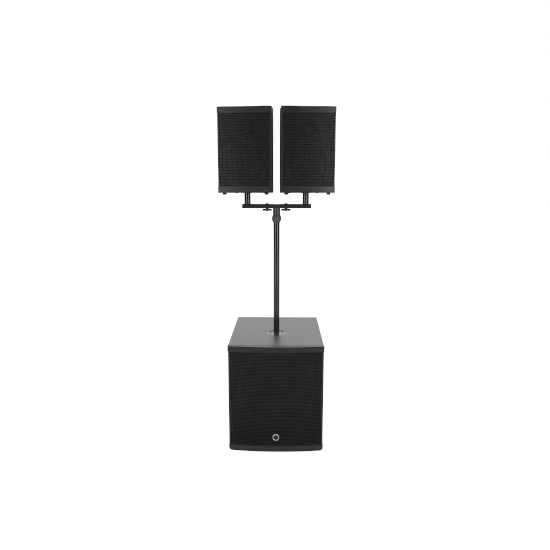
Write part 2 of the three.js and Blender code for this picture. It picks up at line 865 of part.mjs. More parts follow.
function wingNut() {
  const { top, bottom, halfSpan, halfThickness, neckRadius } = WING;
  const wings = polygon([
    [-halfSpan, bottom + 2],
    [-halfSpan + 2, bottom],
    [halfSpan - 2, bottom],
    [halfSpan, bottom + 2],
    [halfSpan, top - 2],
    [halfSpan - 3, top],
    [-halfSpan + 3, top],
    [-halfSpan, top - 2],
  ]);
  const neckTop = innerBarBottom() - GAP;
  const neck = rod(neckRadius, bottom + 1, neckTop, "z");
  return frontalPrism(wings, -halfThickness, halfThickness)
    .add(neck)
    .subtract(rod(4.4, bottom - 1, neckTop + 1, "z"));
}

function bracket() {
  const group = new THREE.Group();
  group.position.y = POLE_Y;
  group.add(piece("bracket_center_bar", centreBar(), "tube"));
  for (const [side, word] of [[-1, "left"], [1, "right"]]) {
    const sideArm = side > 0 ? arm() : arm().mirror([1, 0, 0]);
    group.add(piece(`bracket_arm_${word}`, sideArm, "tube"));
    group.add(piece(`bracket_bolt_${word}`, bolt().translate(side * BAR.boltX, 0, 0), "zinc"));
    group.add(piece(`bracket_wing_nut_${word}`, wingNut().translate(side * BAR.boltX, 0, 0), "zinc"));
  }
  return group;
}

// Tops, in their own frame: the stub axis is Z, and the underside is at 0

function topOutline(inset) {
  const { halfWidth, front, taperStart, rear, rearHalfWidth, rearCorner } = TOP;
  const back = rear - inset;
  const corner = Math.max(rearCorner - inset, 2);
  const slope = (halfWidth - rearHalfWidth) / (rear - taperStart);
  const side = (y) => halfWidth - inset - slope * Math.max(y - taperStart, 0);
  const shape = new THREE.Shape();
  shape.moveTo(-side(front), front);
  shape.lineTo(side(front), front);
  shape.lineTo(side(taperStart), taperStart);
  shape.lineTo(side(back - corner), back - corner);
  shape.quadraticCurveTo(side(back), back, side(back) - corner, back);
  shape.lineTo(-side(back) + corner, back);
  shape.quadraticCurveTo(-side(back), back, -side(back - corner), back - corner);
  shape.lineTo(-side(taperStart), taperStart);
  return shape;
}

function topCabinet() {
  const { height, wall, front, rear } = TOP;
  const { halfWidth, halfHeight, z, thickness } = REAR_PLATE;
  const inside = prism(topOutline(wall), wall, height - wall, 4);
  const mouth = block(
    [-TOP.halfWidth + wall, TOP.halfWidth - wall],
    [front - 1, front + 5],
    [wall, height - wall],
  );
  const cupHole = rod(CUP.radius + 2 * GAP, -1, wall + 1, "z", 24);
  const cupRecess = rod(CUP.flangeRadius + 2 * GAP, -1, CUP.flange + GAP, "z", 24);
  const plateRecess = block(
    [-halfWidth - GAP, halfWidth + GAP],
    [rear - thickness - GAP, rear + 1],
    [z - halfHeight - GAP, z + halfHeight + GAP],
  );
  const plateOpening = block(
    [-halfWidth + 8, halfWidth - 8],
    [rear - wall - 1, rear + 1],
    [z - halfHeight + 8, z + halfHeight - 8],
  );
  return [inside, mouth, cupHole, cupRecess, plateRecess, plateOpening].reduce(
    (shell, cut) => shell.subtract(cut),
    prism(topOutline(0), 0, height, 4),
  );
}

// Moulded front: the board that carries the horn and the woofer, and a bowed trim above and below it.
function topFront() {
  const { halfWidth, cornerY, bow, topTrim, bottomTrim, chamfer, boardFront, boardThickness } = TOP_FRONT;
  const { height, wall, front } = TOP;
  const inner = TOP.halfWidth - wall - GAP;
  const [low, high] = [wall + GAP, height - wall - GAP];
  const bar = bowedBar(halfWidth, cornerY, bow, front - GAP);
  const bevel = polygon([
    [cornerY - bow - 1, height + 1],
    [cornerY - bow - 1, height - chamfer - 1],
    [cornerY - bow + chamfer + 1, height + 1],
  ]);
  let moulding = block([-inner, inner], [boardFront, boardFront + boardThickness], [low, high]);
  moulding = moulding.add(block([-inner, inner], [front - 1, boardFront + 1], [low, bottomTrim]));
  moulding = moulding.add(block([-inner, inner], [front - 1, boardFront + 1], [height - topTrim, high]));
  moulding = moulding.add(prism(bar, 0, bottomTrim));
  moulding = moulding.add(prism(bar, height - topTrim, height));
  moulding = moulding.subtract(lateralPrism(bevel, -halfWidth - 1, halfWidth + 1));
  const through = [boardFront - 1, boardFront + boardThickness + 1];
  for (const [radius, z] of [[TOP_DRIVER.holeRadius, TOP_DRIVER.z], [HORN.mouthRadius + 3, HORN.z]]) {
    moulding = moulding.subtract(rod(radius, ...through, "y", TOP_DRIVER.segments).translate(0, 0, z));
  }
  return moulding;
}

function topGrille() {
  const { cornerY, bow, topTrim, bottomTrim, grilleStep, sheet } = TOP_FRONT;
  const shape = bowedSheet(TOP.halfWidth - 0.5, cornerY + grilleStep, bow, TOP.front - GAP, sheet);
  return prism(shape, bottomTrim + GAP, TOP.height - topTrim - GAP);
}

// Round horn; depths are behind the front board.
function horn() {
  const { flangeRadius, mouthRadius, throatRadius, depth } = HORN;
  const wall = 3;
  const flare = (offset) =>
    [0, 0.3, 0.65, 1].map((t) => {
      const r = throatRadius + (mouthRadius - throatRadius) * (1 - t) ** 1.7;
      return [r + offset, -2 + (depth + 2) * t];
    });
  const outside = flare(wall).slice(1, 3).reverse();
  return turned(
    [
      ...flare(0),
      [28, depth],
      [28, depth - 5],
      ...outside,
      [mouthRadius + 2, -GAP],
      [flangeRadius, -GAP],
      [flangeRadius, -3],
      [flangeRadius - 1, -4],
      [mouthRadius + 1, -4],
    ],
    "y",
    20,
  );
}

// Compression driver behind the horn, with its plug standing in the throat.
function compressionDriver() {
  const start = HORN.depth + GAP;
  return turned(
    [
      [0, start - 22],
      [5, start - 17],
      [8, start - 4],
      [8, start],
      [28, start],
      [28, start + 4],
      [43, start + 4],
      [43, start + 38],
      [38, start + 44],
      [0, start + 44],
    ],
    "y",
    20,
  );
}

function connectorPlate() {
  const { halfWidth, halfHeight, thickness, socketX } = REAR_PLATE;
  const y1 = TOP.rear - GAP;
  const y0 = y1 - thickness + GAP;
  let plate = block([-halfWidth, halfWidth], [y0, y1], [-halfHeight, halfHeight]);
  for (const x of [-socketX, socketX]) {
    plate = plate.add(rod(12, y1 - 22, y1 - 1, "y", 16).translate(x, 0, 0));
    plate = plate.subtract(rod(9.8, y1 - 19, y1 + 1, "y", 16).translate(x, 0, 0));
  }
  return plate.translate(0, 0, REAR_PLATE.z);
}

function poleCup() {
  const { radius, bore, depth, flangeRadius, flange } = CUP;
  const profile = [
    [0, depth - 3],
    [bore, depth - 3],
    [bore, 0],
    [flangeRadius, 0],
    [flangeRadius, flange],
    [radius, flange],
    [radius, depth],
    [0, depth],
  ];
  return turned(profile, "z", 20);
}

function topSpeaker(word, side) {
  const group = new THREE.Group();
  group.position.set(side * STUB.x, POLE_Y, TOP.bottom);
  group.rotation.z = side * THREE.MathUtils.degToRad(TOP.toeOut);
  const name = (part) => `top_${word}_${part}`;
  const board = TOP_FRONT.boardFront;
  group.add(piece(name("cabinet"), topCabinet(), "texturedPaint"));
  group.add(piece(name("front"), topFront(), "blackTrim"));
  group.add(piece(name("grille"), topGrille(), "grille"));
  group.add(piece(name("horn"), horn().translate(0, board, HORN.z), "horn"));
  group.add(piece(name("compression_driver"), compressionDriver().translate(0, board, HORN.z), "magnet"));
  group.add(piece(name("connector_plate"), connectorPlate(), "plate"));
  group.add(piece(name("pole_cup"), poleCup(), "castFrame"));
  const driver = new THREE.Group();
  driver.position.set(0, board, TOP_DRIVER.z);
  driver.add(piece(name("woofer_basket"), basket(TOP_DRIVER), "castFrame"));
  driver.add(piece(name("woofer_magnet"), magnet(TOP_DRIVER), "magnet"));
  driver.add(piece(name("woofer_surround"), surround(TOP_DRIVER), "cloth"));
  driver.add(piece(name("woofer_cone"), cone(TOP_DRIVER), "paper"));
  group.add(driver);
  return group;
}

const system = new THREE.Group();
system.add(subwoofer(), pole(), bracket(), topSpeaker("left", -1), topSpeaker("right", 1));

export default system;
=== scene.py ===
"""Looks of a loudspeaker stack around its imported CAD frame: an active subwoofer, a telescopic pole, a
two-arm bracket and a top speaker on each arm. +Z is up and the fronts face -Y. Shapes and places are in
millimetres, which add_piece turns into metres; the stage is in metres."""

import json
from math import asin, atan2, cos, exp, pi, radians, sin, sqrt, tan
import bmesh
import bpy
from mathutils import Matrix, Vector

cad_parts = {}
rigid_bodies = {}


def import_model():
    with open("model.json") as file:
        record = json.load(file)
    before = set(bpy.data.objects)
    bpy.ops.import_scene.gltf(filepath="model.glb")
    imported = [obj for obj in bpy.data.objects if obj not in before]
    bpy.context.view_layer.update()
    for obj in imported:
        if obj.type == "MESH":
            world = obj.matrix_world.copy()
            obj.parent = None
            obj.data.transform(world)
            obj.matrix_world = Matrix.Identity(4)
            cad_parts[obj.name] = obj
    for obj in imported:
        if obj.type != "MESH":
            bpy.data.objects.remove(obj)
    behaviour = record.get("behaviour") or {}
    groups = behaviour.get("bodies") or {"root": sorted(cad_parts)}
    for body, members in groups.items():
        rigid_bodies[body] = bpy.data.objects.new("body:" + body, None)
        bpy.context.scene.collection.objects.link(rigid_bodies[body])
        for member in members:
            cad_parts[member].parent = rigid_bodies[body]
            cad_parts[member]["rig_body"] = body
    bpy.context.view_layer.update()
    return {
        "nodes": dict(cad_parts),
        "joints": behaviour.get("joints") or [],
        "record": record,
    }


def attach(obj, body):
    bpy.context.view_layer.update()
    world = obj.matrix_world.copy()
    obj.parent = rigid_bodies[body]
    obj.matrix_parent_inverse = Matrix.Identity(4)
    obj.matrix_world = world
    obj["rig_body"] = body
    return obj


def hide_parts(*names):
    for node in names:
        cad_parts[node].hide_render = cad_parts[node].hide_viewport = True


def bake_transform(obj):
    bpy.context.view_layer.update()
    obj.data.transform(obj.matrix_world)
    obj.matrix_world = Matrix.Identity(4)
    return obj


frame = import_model()

MM = 0.001
ABOUT_Y = Matrix.Rotation(-pi / 2, 4, "X")  # turns a shape made about Z to lie along +Y
SIDES = {"left": -1, "right": 1}
PAIR = (-1, 1)
JOINTS = {joint["name"]: joint for joint in frame["joints"]}

# Perforated steel: round holes in staggered rows, inside a plain margin of at least so much
PITCH = 9.7
HOLE = 8.0
ROW = PITCH * sin(radians(60))
MARGIN = 1.0
BEND = 3.0
# By the number of points on a hole's edge: the first one's angle, and those that a cell's corners join
EDGE_START = {10: 18, 12: 0}
EDGE_JOINS = {10: (5, 7, 9, 0, 2, 4), 12: (7, 9, 11, 1, 3, 5)}

# Depth of each bowed front, and the round lower corners of the subwoofer
SUB_BOW = 20
TOP_BOW = 11
LOWER_CORNER = 20

# Tubes: the standard pole end, which the stubs share, and the clear bore of what drops over it
POLE_RADIUS = 17.5
STUB_BORE = 15
SLEEVE_BORE = 18
SLEEVE_RADIUS = 21

# Drivers: radii, and depths behind the plane that the driver is screwed to
SUB_DRIVER = {
    "rim": 229, "hole": 212, "flange": 8, "lip": 18, "back": 116, "neck": 108, "wall": 6,
    "cone": 188, "edge": 2, "depth": 66, "coil": 50, "coil_end": 142, "cap": 68, "cap_height": 26,
    "paper": 2, "roll": 4.5, "windows": 8, "magnet_radius": 110, "magnet": 52,
}
TOP_DRIVER = {
    "rim": 128, "hole": 116, "flange": 6, "lip": 10, "back": 64, "neck": 58, "wall": 4.5,
    "cone": 98, "edge": 2, "depth": 36, "coil": 25, "coil_end": 86, "cap": 34, "cap_height": 14,
    "paper": 1.6, "roll": 3.2, "windows": 6, "magnet_radius": 60, "magnet": 38,
}

# ---------------------------------------------------------------- places from the frame


class Extent:
    """Box round a CAD node, in the axes of place."""

    def __init__(self, node, place=None):
        back = (place or Matrix.Identity(4)).inverted()
        points = [back @ (vertex.co / MM) for vertex in frame["nodes"][node].data.vertices]
        self.low = Vector([min(p[i] for p in points) for i in range(3)])
        self.high = Vector([max(p[i] for p in points) for i in range(3)])
        self.centre = (self.low + self.high) / 2
        self.half = (self.high - self.low) / 2
        self.axis = at(self.centre.x, self.centre.y, 0)


def at(x, y, z):
    return Matrix.Translation((x, y, z))


def joint_spot(name):
    return Vector(JOINTS[name]["pos_m"]) / MM


def body_of(node):
    return frame["nodes"][node]["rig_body"]


def top_place(word):
    """Frame of a top: the stub's axis is Z, its underside is at 0 and its front faces -Y."""
    axis = JOINTS[f"top_{word}_cone_travel"]["axis"]
    turn = Matrix.Rotation(atan2(-axis[0], axis[1]), 4, "Z")
    return at(*joint_spot(f"top_{word}_swivel")) @ turn


def linked(name, data):
    """A new object in the scene."""
    made = bpy.data.objects.new(name, data)
    bpy.context.scene.collection.objects.link(made)
    return made


def slot_of(node):
    """The record's material slot of a CAD node."""
    part = next(p for p in frame["record"]["subparts"] if p.get("node") == node)
    return part["material_slot"]


# ---------------------------------------------------------------- finishes

FINISHES = {}


class Nodes:
    """A node tree that is being wired up."""

    def __init__(self, tree):
        self.tree = tree

    def add(self, kind, **values):
        made = self.tree.nodes.new("ShaderNode" + kind)
        for key, value in values.items():
            made.inputs[key.replace("_", " ")].default_value = value
        return made

    def wire(self, source, target):
        self.tree.links.new(source, target)

    def spread(self, source, low, high, start=0.35, end=0.65, interpolation="LINEAR"):
        """From low where the source is start, to high where it is end."""
        made = self.add("MapRange", From_Min=start, From_Max=end, To_Min=low, To_Max=high)
        made.interpolation_type = interpolation
        self.wire(source, made.inputs["Value"])
        return made.outputs["Result"]

    def product(self, source, other):
        made = self.add("Math")
        made.operation = "MULTIPLY"
        self.wire(source, made.inputs[0])
        self.wire(other, made.inputs[1])
        return made.outputs["Value"]


class Finish(Nodes):
    """A Principled material whose colour, roughness and bump vary in the piece's own space. Their source
    is a noise, given as (scale, detail) or (scale, detail, stretch), or else the output of a node."""

    def __init__(self, slot, metallic=0.0, specular=0.5):
        self.material = bpy.data.materials.new(slot)
        self.material.use_nodes = True
        super().__init__(self.material.node_tree)
        self.shader = self.tree.nodes["Principled BSDF"]
        self.shader.inputs["Metallic"].default_value = metallic
        self.shader.inputs["Specular IOR Level"].default_value = specular
        self.space = self.add("TexCoord").outputs["Object"]
        self.normal = None

    def texture(self, kind, scale, stretch=(1, 1, 1), **values):
        mapping = self.add("Mapping", Scale=stretch)
        made = self.add(kind, Scale=scale, **values)
        self.wire(self.space, mapping.inputs["Vector"])
        self.wire(mapping.outputs["Vector"], made.inputs["Vector"])
        return made

    def output(self, source):
        if not isinstance(source, tuple):
            return source
        scale, detail, *stretch = source
        return self.texture("TexNoise", scale, *stretch, Detail=detail).outputs["Fac"]

    def cells(self, scale, stretch=(1, 1, 1)):
        made = self.texture("TexVoronoi", scale, stretch)
        made.feature = "SMOOTH_F1"
        return made.outputs["Distance"]

    def mixed(self, factor, light):
        """Base colour mixed towards light; what the base was goes into the mix's other side."""
        made = self.add("Mix")
        made.data_type = "RGBA"
        self.wire(factor, made.inputs["Factor"])
        made.inputs["B"].default_value = (*light, 1)
        return made

    def colour(self, source, dark, light):
        made = self.mixed(self.spread(self.output(source), 0, 1), light)
        made.inputs["A"].default_value = (*dark, 1)
        self.wire(made.outputs["Result"], self.shader.inputs["Base Color"])

    def painted_floor_bounce(self, source, height, light):
        """Painted floor bounce: the colour lightened in cloudy patches below a height in metres, painted in
        for light thrown up from the floor onto what stands near it.
        """
        split = self.add("SeparateXYZ")
        self.wire(self.space, split.inputs["Vector"])
        low = self.spread(split.outputs["Z"], 1, 0, height / 2, height)
        made = self.mixed(self.product(low, self.spread(self.output(source), 0.7, 1)), light)
        base = self.shader.inputs["Base Color"]
        self.wire(base.links[0].from_socket, made.inputs["A"])
        self.wire(made.outputs["Result"], base)

    def rough(self, source, low, high):
        self.wire(self.spread(self.output(source), low, high), self.shader.inputs["Roughness"])

    def bump(self, source, height, strength):
        made = self.add("Bump", Distance=height * MM, Strength=strength)
        self.wire(self.output(source), made.inputs["Height"])
        if self.normal:
            self.wire(self.normal, made.inputs["Normal"])
        self.normal = made.outputs["Normal"]
        self.wire(self.normal, self.shader.inputs["Normal"])


def finish(**shine):
    """Makes the finish that the function below it paints, under that function's name."""

    def register(paint):
        made = Finish(paint.__name__, **shine)
        paint(made)
        FINISHES[paint.__name__] = made.material
        return paint

    return register


def grey(level, cool=0.0):
    """A grey, a little bluer where cool is above 0."""
    return (level * (1 - cool), level, level * (1 + cool))


@finish(specular=0.69)
def cabinet_paint(made):
    """Water-based cabinet paint, rolled on: a fine stipple with a satin sheen."""
    made.colour((7, 4), grey(0.011), grey(0.017, 0.03))
    made.rough((60, 5), 0.37, 0.43)
    made.bump(made.cells(620), 0.2, 0.4)
    made.bump((300, 3), 0.1, 0.3)


@finish(specular=0.08)
def baffle_board(made):
    """Birch plywood stained black, with its grain along X."""
    grain = (90, 6, (0.06, 1, 1))
    made.colour(grain, grey(0.002), grey(0.004))
    made.rough((200, 3), 0.7, 0.85)
    made.bump(grain, 0.3, 0.4)


@finish(specular=0.34)
def front_trim(made):
    """Moulded trim with a fine spark texture, rubbed smoother in places, with painted floor bounce that
    lightens its colour near the floor.
    """
    made.colour((18, 5), grey(0.010, 0.01), grey(0.014, 0.02))
    # Painted light: lighter towards the floor, standing in for the light that the floor throws back onto the
    # lower trim.
    made.painted_floor_bounce((30, 5), 0.1, grey(0.031))
    made.rough((9, 4), 0.38, 0.5)
    made.bump((900, 2), 0.12, 0.4)


@finish(specular=0.33)
def grille_steel(made):
    """Powder coat on steel: an even orange-peel skin."""
    made.colour((6, 4), grey(0.014), grey(0.018))
    made.rough((30, 4), 0.42, 0.55)
    made.bump((1500, 2), 0.05, 0.4)


@finish(metallic=1.0)
def badge_metal(made):
    """Satin aluminium, brushed along X."""
    brushed = (900, 4, (0.02, 1, 1))
    made.colour(brushed, grey(0.56, 0.01), grey(0.76, 0.01))
    made.rough(brushed, 0.22, 0.36)
    made.bump(brushed, 0.02, 0.5)


@finish(specular=0.15)
def driver_frame(made):
    """Black enamel on a cast frame."""
    made.colour((40, 4), grey(0.005), grey(0.008))
    made.rough((120, 4), 0.38, 0.55)
    made.bump((420, 3), 0.12, 0.4)


@finish(metallic=1.0)
def magnet_steel(made):
    """Zinc plate over steel, cloudy from the bath."""
    made.colour((35, 6), grey(0.16), grey(0.30, 0.02))
    made.rough((70, 5), 0.3, 0.5)
    made.bump((300, 3), 0.06, 0.4)


@finish(specular=0.08)
def surround_cloth(made):
    """Doped cloth, its weave still showing."""
    made.colour((80, 4), grey(0.002), grey(0.004))
    made.rough((60, 3), 0.55, 0.75)
    made.bump((1100, 2, (1, 1, 0.2)), 0.12, 0.5)
    made.bump((1100, 2, (0.2, 1, 1)), 0.12, 0.5)


@finish(specular=0.1)
def cone_paper(made):
    """Pressed paper pulp with short fibres in it."""
    fibres = (420, 6, (1, 1, 0.35))
    made.colour(fibres, grey(0.003), grey(0.006))
    made.rough((120, 4), 0.6, 0.82)
    made.bump(fibres, 0.25, 0.5)


@finish()
def handle_plastic(made):
    """Injection-moulded plastic with a leather-like grain."""
    made.colour((25, 4), grey(0.010), grey(0.017))
    made.rough((50, 4), 0.42, 0.58)
    made.bump(made.cells(480), 0.18, 0.5)


@finish(specular=0.3)
def foot_rubber(made):
    """Matt rubber with fine dirt in its pores."""
    made.colour((160, 6), grey(0.010), grey(0.024))
    made.rough((90, 4), 0.75, 0.92)
    made.bump((700, 4), 0.15, 0.5)


@finish()
def amp_plate(made):
    """Wrinkle powder coat on sheet steel."""
    made.colour((14, 4), grey(0.012), grey(0.020))
    made.rough((45, 4), 0.45, 0.6)
    made.bump((520, 3), 0.16, 0.55)


@finish(metallic=0.85)
def heatsink_aluminium(made):
    """Black anodised extrusion, with faint lines along its length."""
    lines = (700, 4, (1, 1, 0.01))
    made.colour(lines, grey(0.030), grey(0.050, 0.02))
    made.rough((30, 4), 0.34, 0.46)
    made.bump(lines, 0.04, 0.5)


@finish()
def circuit_board(made):
    """Green solder mask over copper tracks."""
    tracks = made.cells(180, (1, 1, 0.3))
    made.colour(tracks, (0.010, 0.045, 0.022), (0.020, 0.085, 0.040))
    made.rough((90, 3), 0.35, 0.5)
    made.bump(tracks, 0.05, 0.5)


@finish(specular=0.4)
def knob_plastic(made):
    """Soft-touch plastic."""
    made.colour((120, 4), grey(0.012), grey(0.020))
    made.rough((200, 3), 0.5, 0.66)
    made.bump((1500, 2), 0.05, 0.4)


@finish()
def socket_plastic(made):
    """Glass-filled nylon."""
    made.colour((220, 5), grey(0.009), grey(0.016))
    made.rough((90, 4), 0.34, 0.5)
    made.bump((1300, 3), 0.05, 0.5)


@finish()
def pole_steel(made):
    """Semi-gloss powder coat on drawn tube, with faint rubbing along the tube."""
    made.colour((160, 5, (1, 1, 0.05)), grey(0.012), grey(0.017, 0.05))
    made.rough((24, 4, (1, 1, 0.3)), 0.15, 0.19)
    made.bump((700, 2), 0.015, 0.3)


@finish()
def collar_plastic(made):
    """Grey-black glass-filled plastic."""
    made.colour((60, 5), grey(0.038, 0.02), grey(0.049, 0.02))
    made.rough((80, 4), 0.5, 0.64)
    made.bump((800, 3), 0.1, 0.5)


@finish(metallic=1.0)
def dark_zinc(made):
    """Black zinc on fasteners, worn to bare metal where it is handled."""
    made.colour((260, 6), grey(0.020), grey(0.060, 0.02))
    made.rough((150, 5), 0.32, 0.5)
    made.bump((900, 3), 0.04, 0.5)


@finish(specular=0.15)
def horn_plastic(made):
    """Smooth satin moulding."""
    made.colour((30, 4), grey(0.003), grey(0.006))
    made.rough((40, 4), 0.32, 0.44)
    made.bump((1000, 2), 0.05, 0.4)


# ---------------------------------------------------------------- shapes


def rounded(points, closed=False, steps=4):
    """Polyline of (a, b) or (a, b, radius) points, with an arc at each corner that has a radius."""
    out = []
    for i, point in enumerate(points):
        corner = Vector(point[:2])
        if len(point) == 2 or (not closed and i in (0, len(points) - 1)):
            out.append(corner)
            continue
        before = Vector(points[i - 1][:2]) - corner
        after = Vector(points[(i + 1) % len(points)][:2]) - corner
        half = before.angle(after) / 2
        reach = min(point[2] / tan(half), 0.49 * before.length, 0.49 * after.length)
        middle = (before.normalized() + after.normalized()).normalized()
        centre = corner + middle * reach / cos(half)
        start = corner + before.normalized() * reach - centre
        end = corner + after.normalized() * reach - centre
        radius = start.length
        out += [centre + start.slerp(end, step / steps).normalized() * radius for step in range(steps + 1)]
    return out


def circle(radius, count, first=0.0):
    """Points evenly round a circle. The first is turned from X by a share, first, of their spacing."""
    angles = [2 * pi * (i + first) / count for i in range(count)]
    return [(radius * cos(a), radius * sin(a)) for a in angles]


def lathe(profile, segments):
    """(radius, height) points turned about Z. The profile closes on itself unless it ends on the axis."""
    verts, rings = [], []
    for radius, height in profile:
        count = 1 if radius < 1e-4 else segments
        rings.append([len(verts) + k for k in range(count)])
        verts += [(x, y, height) for x, y in circle(radius, count)]
    pairs = list(zip(rings, rings[1:]))
    if len(rings[0]) > 1:
        pairs.append((rings[-1], rings[0]))
    faces = []
    for low, high in pairs:
        if len(low) == len(high) == 1:
            continue
        for k in range(segments):
            n = k + 1
            face = [low[k % len(low)], low[n % len(low)], high[n % len(high)], high[k % len(high)]]
            faces.append(list(dict.fromkeys(face)))
    return verts, faces


def turned(profile, segments=64, closed=False):
    """Rounded profile turned about Z."""
    return lathe(rounded(profile, closed), segments)


def turned_y(profile, segments=64, closed=False, place=Matrix.Identity(4)):
    """Rounded profile turned about +Y, at a place."""
    return moved(turned(profile, segments, closed), place @ ABOUT_Y)


def loft(rings, closed=False):
    """Skin over closed rings of equally many points, capped at both ends or going round to the first."""
    count = len(rings[0])
    verts = [tuple(point) for ring in rings for point in ring]
    total = len(verts)
    faces = [] if closed else [list(range(count))[::-1], list(range(total - count, total))]
    for low in range(0, total if closed else total - count, count):
        high = (low + count) % total
        for k in range(count):
            n = (k + 1) % count
            faces.append([low + k, low + n, high + n, high + k])
    return verts, faces


def polar(reach, segments, level):
    """Ring about Z whose distance from the axis is reach(angle)."""
    angles = [2 * pi * k / segments for k in range(segments)]
    return [(reach(a) * cos(a), reach(a) * sin(a), level) for a in angles]


def prism(outline, low, high):
    """Outline in X and Y, from low to high in Z."""
    return loft([[(a, b, level) for a, b in outline] for level in (low, high)])


def frontal(outline, low, high):
    """Outline in X and Z, from low to high in Y."""
    return loft([[(a, level, b) for a, b in outline] for level in (low, high)])


def lateral(outline, low, high):
    """Outline in Y and Z, from low to high in X."""
    return loft([[(level, a, b) for a, b in outline] for level in (low, high)])


def box(low, high):
    (x0, y0, z0), (x1, y1, z1) = low, high
    return prism([(x0, y0), (x1, y0), (x1, y1), (x0, y1)], z0, z1)


def moved(part, place):
    verts, faces = part
    return [tuple(place @ Vector(v)) for v in verts], faces


def corners(half_a, half_b):
    """The four corners of a rectangle about the origin, going round it."""
    return [(-half_a, -half_b), (half_a, -half_b), (half_a, half_b), (-half_a, half_b)]


def rounded_box(half_a, half_b, radius, steps=6):
    """Rectangle about the origin with round corners."""
    return rounded([(*corner, radius) for corner in corners(half_a, half_b)], True, steps)


def bevel_sharp(bm, width, angle):
    edges = [e for e in bm.edges if len(e.link_faces) == 2 and e.calc_face_angle() > radians(angle)]
    bmesh.ops.bevel(
        bm, geom=edges, offset=width, segments=2, profile=0.5, affect="EDGES", clamp_overlap=True
    )


def mesh_of(parts):
    """One bmesh from (vertices, faces) parts, with its faces pointing out."""
    bm = bmesh.new()
    for verts, faces in parts:
        made = [bm.verts.new(v) for v in verts]
        for face in faces:
            bm.faces.new([made[i] for i in face])
    bmesh.ops.recalc_face_normals(bm, faces=bm.faces)
    return bm


def merged(bm, distance):
    """Joins the points closer than distance, and the faces that lie in one plane."""
    bmesh.ops.remove_doubles(bm, verts=bm.verts, dist=distance)
    bmesh.ops.dissolve_limit(bm, angle_limit=radians(0.4), verts=bm.verts, edges=bm.edges)
    return bm


def carved(parts, cuts, operation="DIFFERENCE"):
    """A bmesh of the parts with the cuts taken out of them, or only what lies in both."""
    works = []
    for shapes in (parts, cuts):
        mesh = bpy.data.meshes.new("work")
        mesh_of(shapes).to_mesh(mesh)
        works.append(linked("work", mesh))
    boolean = works[0].modifiers.new("cut", "BOOLEAN")
    boolean.object = works[1]
    boolean.solver = "EXACT"
    boolean.operation = operation
    boolean.use_self = True
    evaluated = works[0].evaluated_get(bpy.context.evaluated_depsgraph_get())
    bm = bmesh.new()
    bm.from_mesh(bpy.data.meshes.new_from_object(evaluated))
    for work in works:
        bpy.data.objects.remove(work)
    return merged(bm, 0.005)


def add_piece(name, shape, slot, body, replaces=(), place=None, bevel=0.0, angle=32, sharp=40):
    """Makes a piece from parts or a bmesh, gives it its finish and lets it ride on its body."""
    bm = mesh_of(shape) if isinstance(shape, list) else shape
    if bevel:
        bevel_sharp(bm, bevel, angle)
    mesh = bpy.data.meshes.new(name)
    bm.to_mesh(mesh)
    bm.free()
    mesh.transform(Matrix.Scale(MM, 4) @ (place or Matrix.Identity(4)))
    mesh.materials.append(FINISHES[slot])
    mesh.shade_smooth()
    mesh.set_sharp_from_angle(angle=radians(sharp))
    piece = linked(name, mesh)
    if bevel:
        piece.modifiers.new("weighted", "WEIGHTED_NORMAL").keep_sharp = True
    if body:
        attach(piece, body)
    if replaces:
        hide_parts(*replaces)
    return piece


def stand_in(node, ending, shape, slot=None, **options):
    """A piece that stands for a CAD node, on the node's body and with the node's slot."""
    add_piece(f"{node}_{ending}", shape, slot or slot_of(node), body_of(node), (node,), **options)


def refined(node, bevel):
    """Stands in for a CAD node with its own solid, its flat faces whole and its edges rounded."""
    bm = bmesh.new()
    bm.from_mesh(frame["nodes"][node].data)
    bm.transform(Matrix.Scale(1 / MM, 4))
    stand_in(node, "shell", merged(bm, 0.01), bevel=bevel)


def screw(radius):
    """Domed screw head with a hexagonal socket, about Z, seated at 0."""
    height = 0.55 * radius

    def hexagon(angle):
        return cos(pi / 6) / cos(angle % (pi / 3) - pi / 6)

    def ring(share, level, shape=lambda angle: 1):
        return polar(lambda angle: share * radius * shape(angle), 24, level * height)

    dome = [ring(1, 0), ring(1, 0.25), ring(0.9, 0.72), ring(0.68, 1)]
    return loft([*dome, ring(0.5, 1, hexagon), ring(0.46, 0.3, hexagon)])


def screws(name, seats, direction, body, place=None, radius=4.0):
    """Screw heads at the seats, facing along direction, joined into one piece."""
    turn = Vector((0, 0, 1)).rotation_difference(Vector(direction)).to_matrix().to_4x4()
    parts = [moved(screw(radius), at(*seat) @ turn) for seat in seats]
    add_piece(f"{name}_screws", parts, "dark_zinc", body, place=place)


# ---------------------------------------------------------------- perforated grilles


class Bow:
    """The outer face of a grille: an arc across the front, a bend at each side and a return behind it."""

    def __init__(self, extent, bow):
        self.half = extent.half.x
        self.apex = extent.low.y
        self.back = extent.high.y
        self.radius = (self.half**2 + bow**2) / (2 * bow)
        self.end = asin((self.half - BEND) / (self.radius - BEND))
        self.span = 2 * self.radius * self.end

    def arc(self, along):
        """Point and outward normal at a distance along the arc from its middle."""
        angle = along / self.radius
        normal = Vector((sin(angle), -cos(angle)))
        return Vector((0, self.apex + self.radius)) + normal * self.radius, normal

    def side(self, steps=5):
        """Points and normals of the right-hand bend and return, from the arc's end backwards."""
        point, normal = self.arc(self.span / 2)
        centre = point - normal * BEND
        out = []
        for step in range(1, steps + 1):
            angle = self.end + (pi / 2 - self.end) * step / steps
            outward = Vector((sin(angle), -cos(angle)))
            out.append((centre + outward * BEND, outward))
        out.append((Vector((self.half, self.back)), Vector((1, 0))))
        return out

    def columns(self, holes):
        """Points and normals across the whole face, at every half pitch where there are holes."""
        right = self.side()
        left = [(Vector((-p.x, p.y)), Vector((-n.x, n.y))) for p, n in reversed(right)]
        middle = [self.arc((k - holes) * PITCH / 2) for k in range(2 * holes + 1)]
        return [*left, self.arc(-self.span / 2), *middle, self.arc(self.span / 2), *right], len(left) + 1


